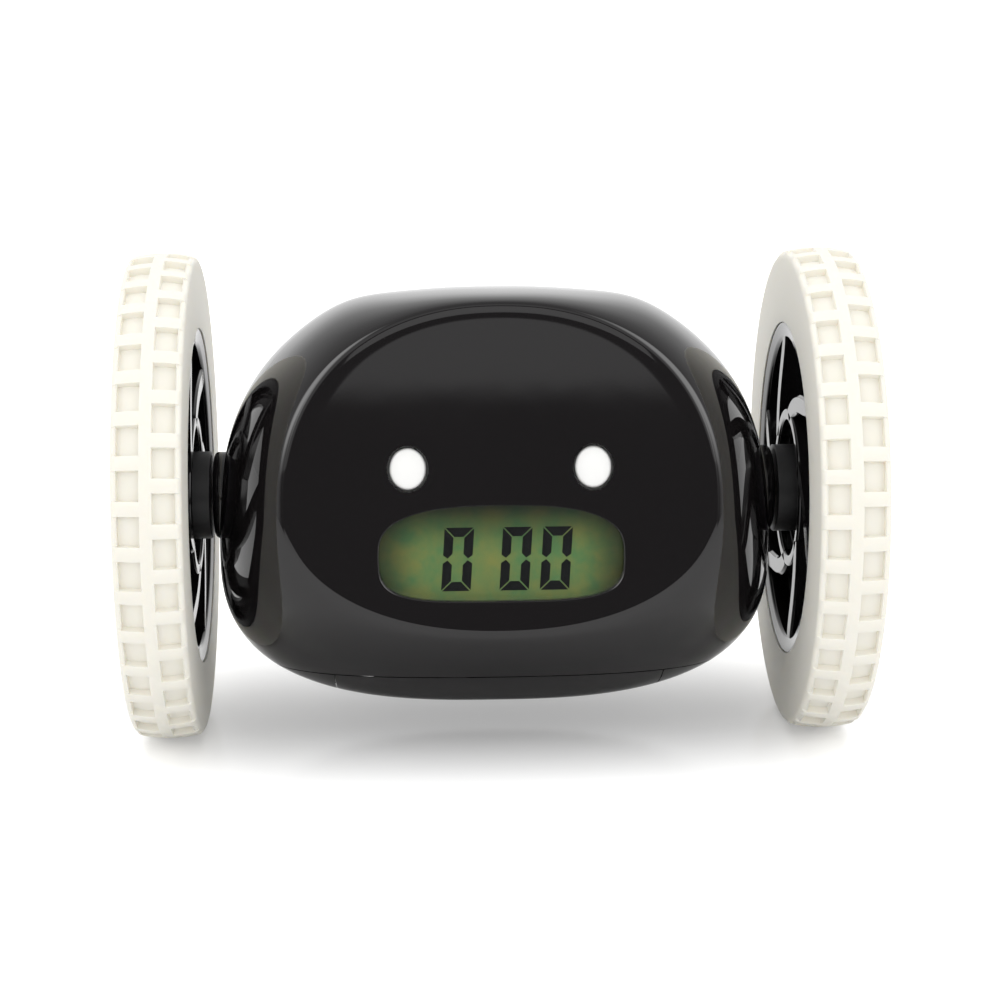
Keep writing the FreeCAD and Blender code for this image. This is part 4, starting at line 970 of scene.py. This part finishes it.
# materials of the pieces taken over as they are; the second table holds for the left and the right side
plainLook = {
    blackMoulding: ("battery_box", "eye_switches", "key_switches"), cellFilm: ("aaa_cells",),
    zincSteel: ("board_screws", "key_board_screws", "shell_screws"), clearLens: ("lcd_lens",),
    nickelSpring: ("contact_plates", "contact_springs"), boardLacquer: ("key_board", "main_board"),
    whiteMoulding: ("lcd_backlight", "lcd_frame"), lcdGlass: ("lcd_glass",), paintedSpeaker: ("speaker",),
    whiteButtonAbs: ("clock_button", "alarm_button", "wheels_button", "snooze_button"),
}
sideLook = {
    zincSteel: ("axle", "idler_arbor"), turnedBrass: ("axle_bush", "motor_pinion"), drawnSteel: ("motor",),
    blackMoulding: ("gear_case", "gear_cover"), milkyAcetal: ("idler_gear", "output_gear"),
}
cadLook = {name: material for material, names in plainLook.items() for name in names}
cadLook.update({side + "_" + name: material for material, names in sideLook.items() for name in names
                for side in ("left", "right")})
for name, material in cadLook.items():
    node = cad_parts[name]
    for spot in node.material_slots:
        spot.material = material
print("carried-over pieces dressed")

# studio: white floor that runs into a white surround, soft lamps above, a dark card in front; the floor is
# polished in an oval about the clock (mm), and its lift and its painted shade go with the distance from there
studio = {"floor": "#f2f2f2", "floorRoughness": 0.05, "floorSize": 6.0, "fill": 1.12, "polish": 0.5,
          "polishFrom": 14.0, "polishTo": 52.0, "polishMiddle": 12.0, "polishStretch": 0.3,
          "lift": 0.2, "farLift": 0.5, "shadeFrom": 24.0, "shadeTo": 76.0, "shade": 0.5}


def makeFloor():
    o = studio
    size = o["floorSize"]
    corners = [(-size, -size, 0), (size, -size, 0), (size, size, 0), (-size, size, 0)]
    mesh = bpy.data.meshes.new("floor")
    mesh.from_pydata(corners, [], [(0, 1, 2, 3)])
    floor = addObject("floor", mesh)
    material, tree = newMaterial("WhiteAcrylicFloor")
    # polished where the clock stands, dulled by the light further out
    place = addNode(tree, "TexCoord").outputs["Object"]
    oval = addNode(tree, "Mapping", {"Location": (0, -o["polishMiddle"] * mm, 0),
                                     "Scale": (o["polishStretch"], 1, 1)}, {"Vector": place})
    away = addNode(tree, "VectorMath", {"operation": "LENGTH"}, {0: oval})
    near = addNode(tree, "MapRange", {"interpolation_type": "SMOOTHSTEP", "From Min": o["polishTo"] * mm,
                                      "From Max": o["polishFrom"] * mm}, {"Value": away.outputs["Value"]})
    polish = addNode(tree, "Math", {"operation": "MULTIPLY", 1: o["polish"]}, {0: near})
    # painted shade: for glossy rays the floor close to the clock is darker, so the gloss of the clock shows
    # it in shade
    path = addNode(tree, "LightPath")
    reach = addNode(tree, "VectorMath", {"operation": "LENGTH"}, {0: place})
    paintedShadeLevel = addNode(tree, "MapRange", {"From Min": o["shadeFrom"] * mm, "From Max": o["shadeTo"] * mm,
                                     "To Min": o["shade"], "To Max": 1.0}, {"Value": reach.outputs["Value"]})
    shade = addNode(tree, "Mix", {"data_type": "RGBA", 6: (1, 1, 1, 1)},
                    {0: path.outputs["Is Glossy Ray"], 7: paintedShadeLevel})
    base = addNode(tree, "Mix", {"data_type": "RGBA", "blend_type": "MULTIPLY", 0: 1.0,
                                 6: linear(o["floor"])}, {7: shade.outputs[2]})
    body = addNode(tree, "BsdfPrincipled", {"IOR": 1.49, "Roughness": o["floorRoughness"]},
                   {"Base Color": base.outputs[2], "Specular IOR Level": polish})
    # lifted for the camera only, so that the open floor is pure white and keeps the shadow
    level = addNode(tree, "MapRange", {"To Min": o["farLift"], "To Max": o["lift"]}, {"Value": near})
    lift = addNode(tree, "Math", {"operation": "MULTIPLY"}, {0: path.outputs["Is Camera Ray"], 1: level})
    glow = addNode(tree, "Emission", {}, {"Strength": lift})
    whole = addNode(tree, "AddShader", links={0: body, 1: glow})
    finishMaterial(tree, whole)
    mesh.materials.append(material)


makeFloor()


# what the gloss shows: grey by height (sine of the elevation), in front of the clock and behind it
surround = {
    "front": ((-1.0, 0.75), (-0.09, 0.7), (-0.06, 0.10), (0.1345, 0.10), (0.1390, 0.78), (0.40, 0.8),
              (0.55, 0.5), (1.0, 0.6)),
    "rear": ((-1.0, 0.9), (0.1, 0.95), (0.3, 0.62), (0.6, 0.5), (1.0, 0.6)),
    "sides": ((-1.0, 0.9), (-0.09, 0.9), (-0.05, 0.9), (0.15, 0.9), (0.45, 0.7), (0.7, 0.6), (1.0, 0.6)),
}
# where one runs into the next, along Y and along X either way
blends = {"rear": (-0.2, 0.3), "sides": (0.45, 0.75)}
# soft boxes, which the gloss shows as glows: direction, cosines of their faint edge and full middle, level
glows = (((-0.62, -0.62, 0.51), 0.90, 0.995, 4.0), ((0.62, -0.62, 0.51), 0.88, 0.995, 3.4))


def makeWorld():
    world = bpy.data.worlds.new("Studio")
    bpy.context.scene.world = world
    world.use_nodes = True
    tree = world.node_tree
    tree.nodes.clear()
    path = addNode(tree, "LightPath")
    place = addNode(tree, "TexCoord")
    parts = addNode(tree, "SeparateXYZ", links={0: place.outputs["Generated"]})
    height = addNode(tree, "MapRange", {"From Min": -1.0, "From Max": 1.0}, {"Value": parts.outputs["Z"]})
    greys = {}
    for key, stops in surround.items():
        rise = [((sine + 1) / 2, (grey, grey, grey, 1)) for sine, grey in stops]
        greys[key] = addNode(tree, "ValToRGB", {"stops": rise}, {0: height})
    toSide = addNode(tree, "Math", {"operation": "ABSOLUTE"}, {0: parts.outputs["X"]})
    shown = greys["front"]
    for key, way in (("rear", parts.outputs["Y"]), ("sides", toSide)):
        start, end = blends[key]
        share = addNode(tree, "MapRange", {"From Min": start, "From Max": end}, {"Value": way})
        shown = addNode(tree, "Mix", {"data_type": "RGBA"},
                        {0: share, 6: shown, 7: greys[key]}).outputs[2]
    for direction, faint, full, level in glows:
        toward = addNode(tree, "VectorMath", {"operation": "DOT_PRODUCT"}, {0: place.outputs["Generated"]})
        toward.inputs[1].default_value = Vector(direction).normalized()
        glow = addNode(tree, "MapRange", {"interpolation_type": "SMOOTHERSTEP", "From Min": faint,
                                          "From Max": full, "To Max": level},
                       {"Value": toward.outputs["Value"]})
        shown = addNode(tree, "Mix", {"data_type": "RGBA", "blend_type": "ADD", 0: 1.0},
                        {6: shown, 7: glow}).outputs[2]
    # even fill for matt surfaces, the studio for gloss, white for the camera
    gloss = addNode(tree, "Mix", {"data_type": "RGBA", 6: (studio["fill"],) * 3 + (1,)},
                    {0: path.outputs["Is Glossy Ray"], 7: shown})
    seen = addNode(tree, "Mix", {"data_type": "RGBA", 7: (1, 1, 1, 1)},
                   {0: path.outputs["Is Camera Ray"], 6: gloss.outputs[2]})
    light = addNode(tree, "Background", {"Strength": 1.0}, {"Color": seen.outputs[2]})
    addNode(tree, "OutputWorld", links={"Surface": light})


makeWorld()


def makeLamp(name, spot, target, width, height, watts):
    data = bpy.data.lights.new(name, "AREA")
    data.shape = "RECTANGLE"
    data.size, data.size_y, data.energy = width, height, watts
    lamp = addObject(name, data)
    lamp.location = spot
    lamp.rotation_euler = (Vector(target) - Vector(spot)).to_track_quat("-Z", "Y").to_euler()
    lamp.visible_glossy = False


lampPlan = {
    "overhead": ((0.0, 0.1, 0.9), (0, 0, 0.05), 1.1, 0.9, 1.5),
    "front_left": ((-0.62, -0.62, 0.56), (0, 0, 0.05), 0.42, 0.36, 0.4),
    "front_right": ((0.62, -0.62, 0.56), (0, 0, 0.05), 0.42, 0.36, 0.4),
}
for name, (spot, target, width, height, watts) in lampPlan.items():
    makeLamp(name, spot, target, width, height, watts)

# the picture is taken from a little to the left and above, with a long lens
shot = {"elevation": 13.0, "azimuth": -2.2, "roll": -0.27, "distance": 0.459, "sideways": 0.00026,
        "aim": 0.04377, "lens": 90.0, "sensor": 36.0, "nearest": 0.05, "farthest": 20.0}


def makeCamera():
    s = shot
    up, turn = math.radians(s["elevation"]), math.radians(s["azimuth"])
    back = Vector((math.sin(turn) * math.cos(up), -math.cos(turn) * math.cos(up), math.sin(up)))
    data = bpy.data.cameras.new("Camera")
    data.lens, data.sensor_width = s["lens"], s["sensor"]
    data.clip_start, data.clip_end = s["nearest"], s["farthest"]
    camera = addObject("Camera", data)
    right = Vector((math.cos(turn), math.sin(turn), 0))
    axes = Matrix((right, back.cross(right), back)).transposed().to_4x4()
    roll = Matrix.Rotation(math.radians(s["roll"]), 4, "Z")
    spot = Vector((s["sideways"], 0, s["aim"])) + back * s["distance"]
    camera.matrix_world = Matrix.Translation(spot) @ axes @ roll
    bpy.context.scene.camera = camera


makeCamera()
bpy.context.scene.view_settings.view_transform = "Standard"
print("studio and camera set")
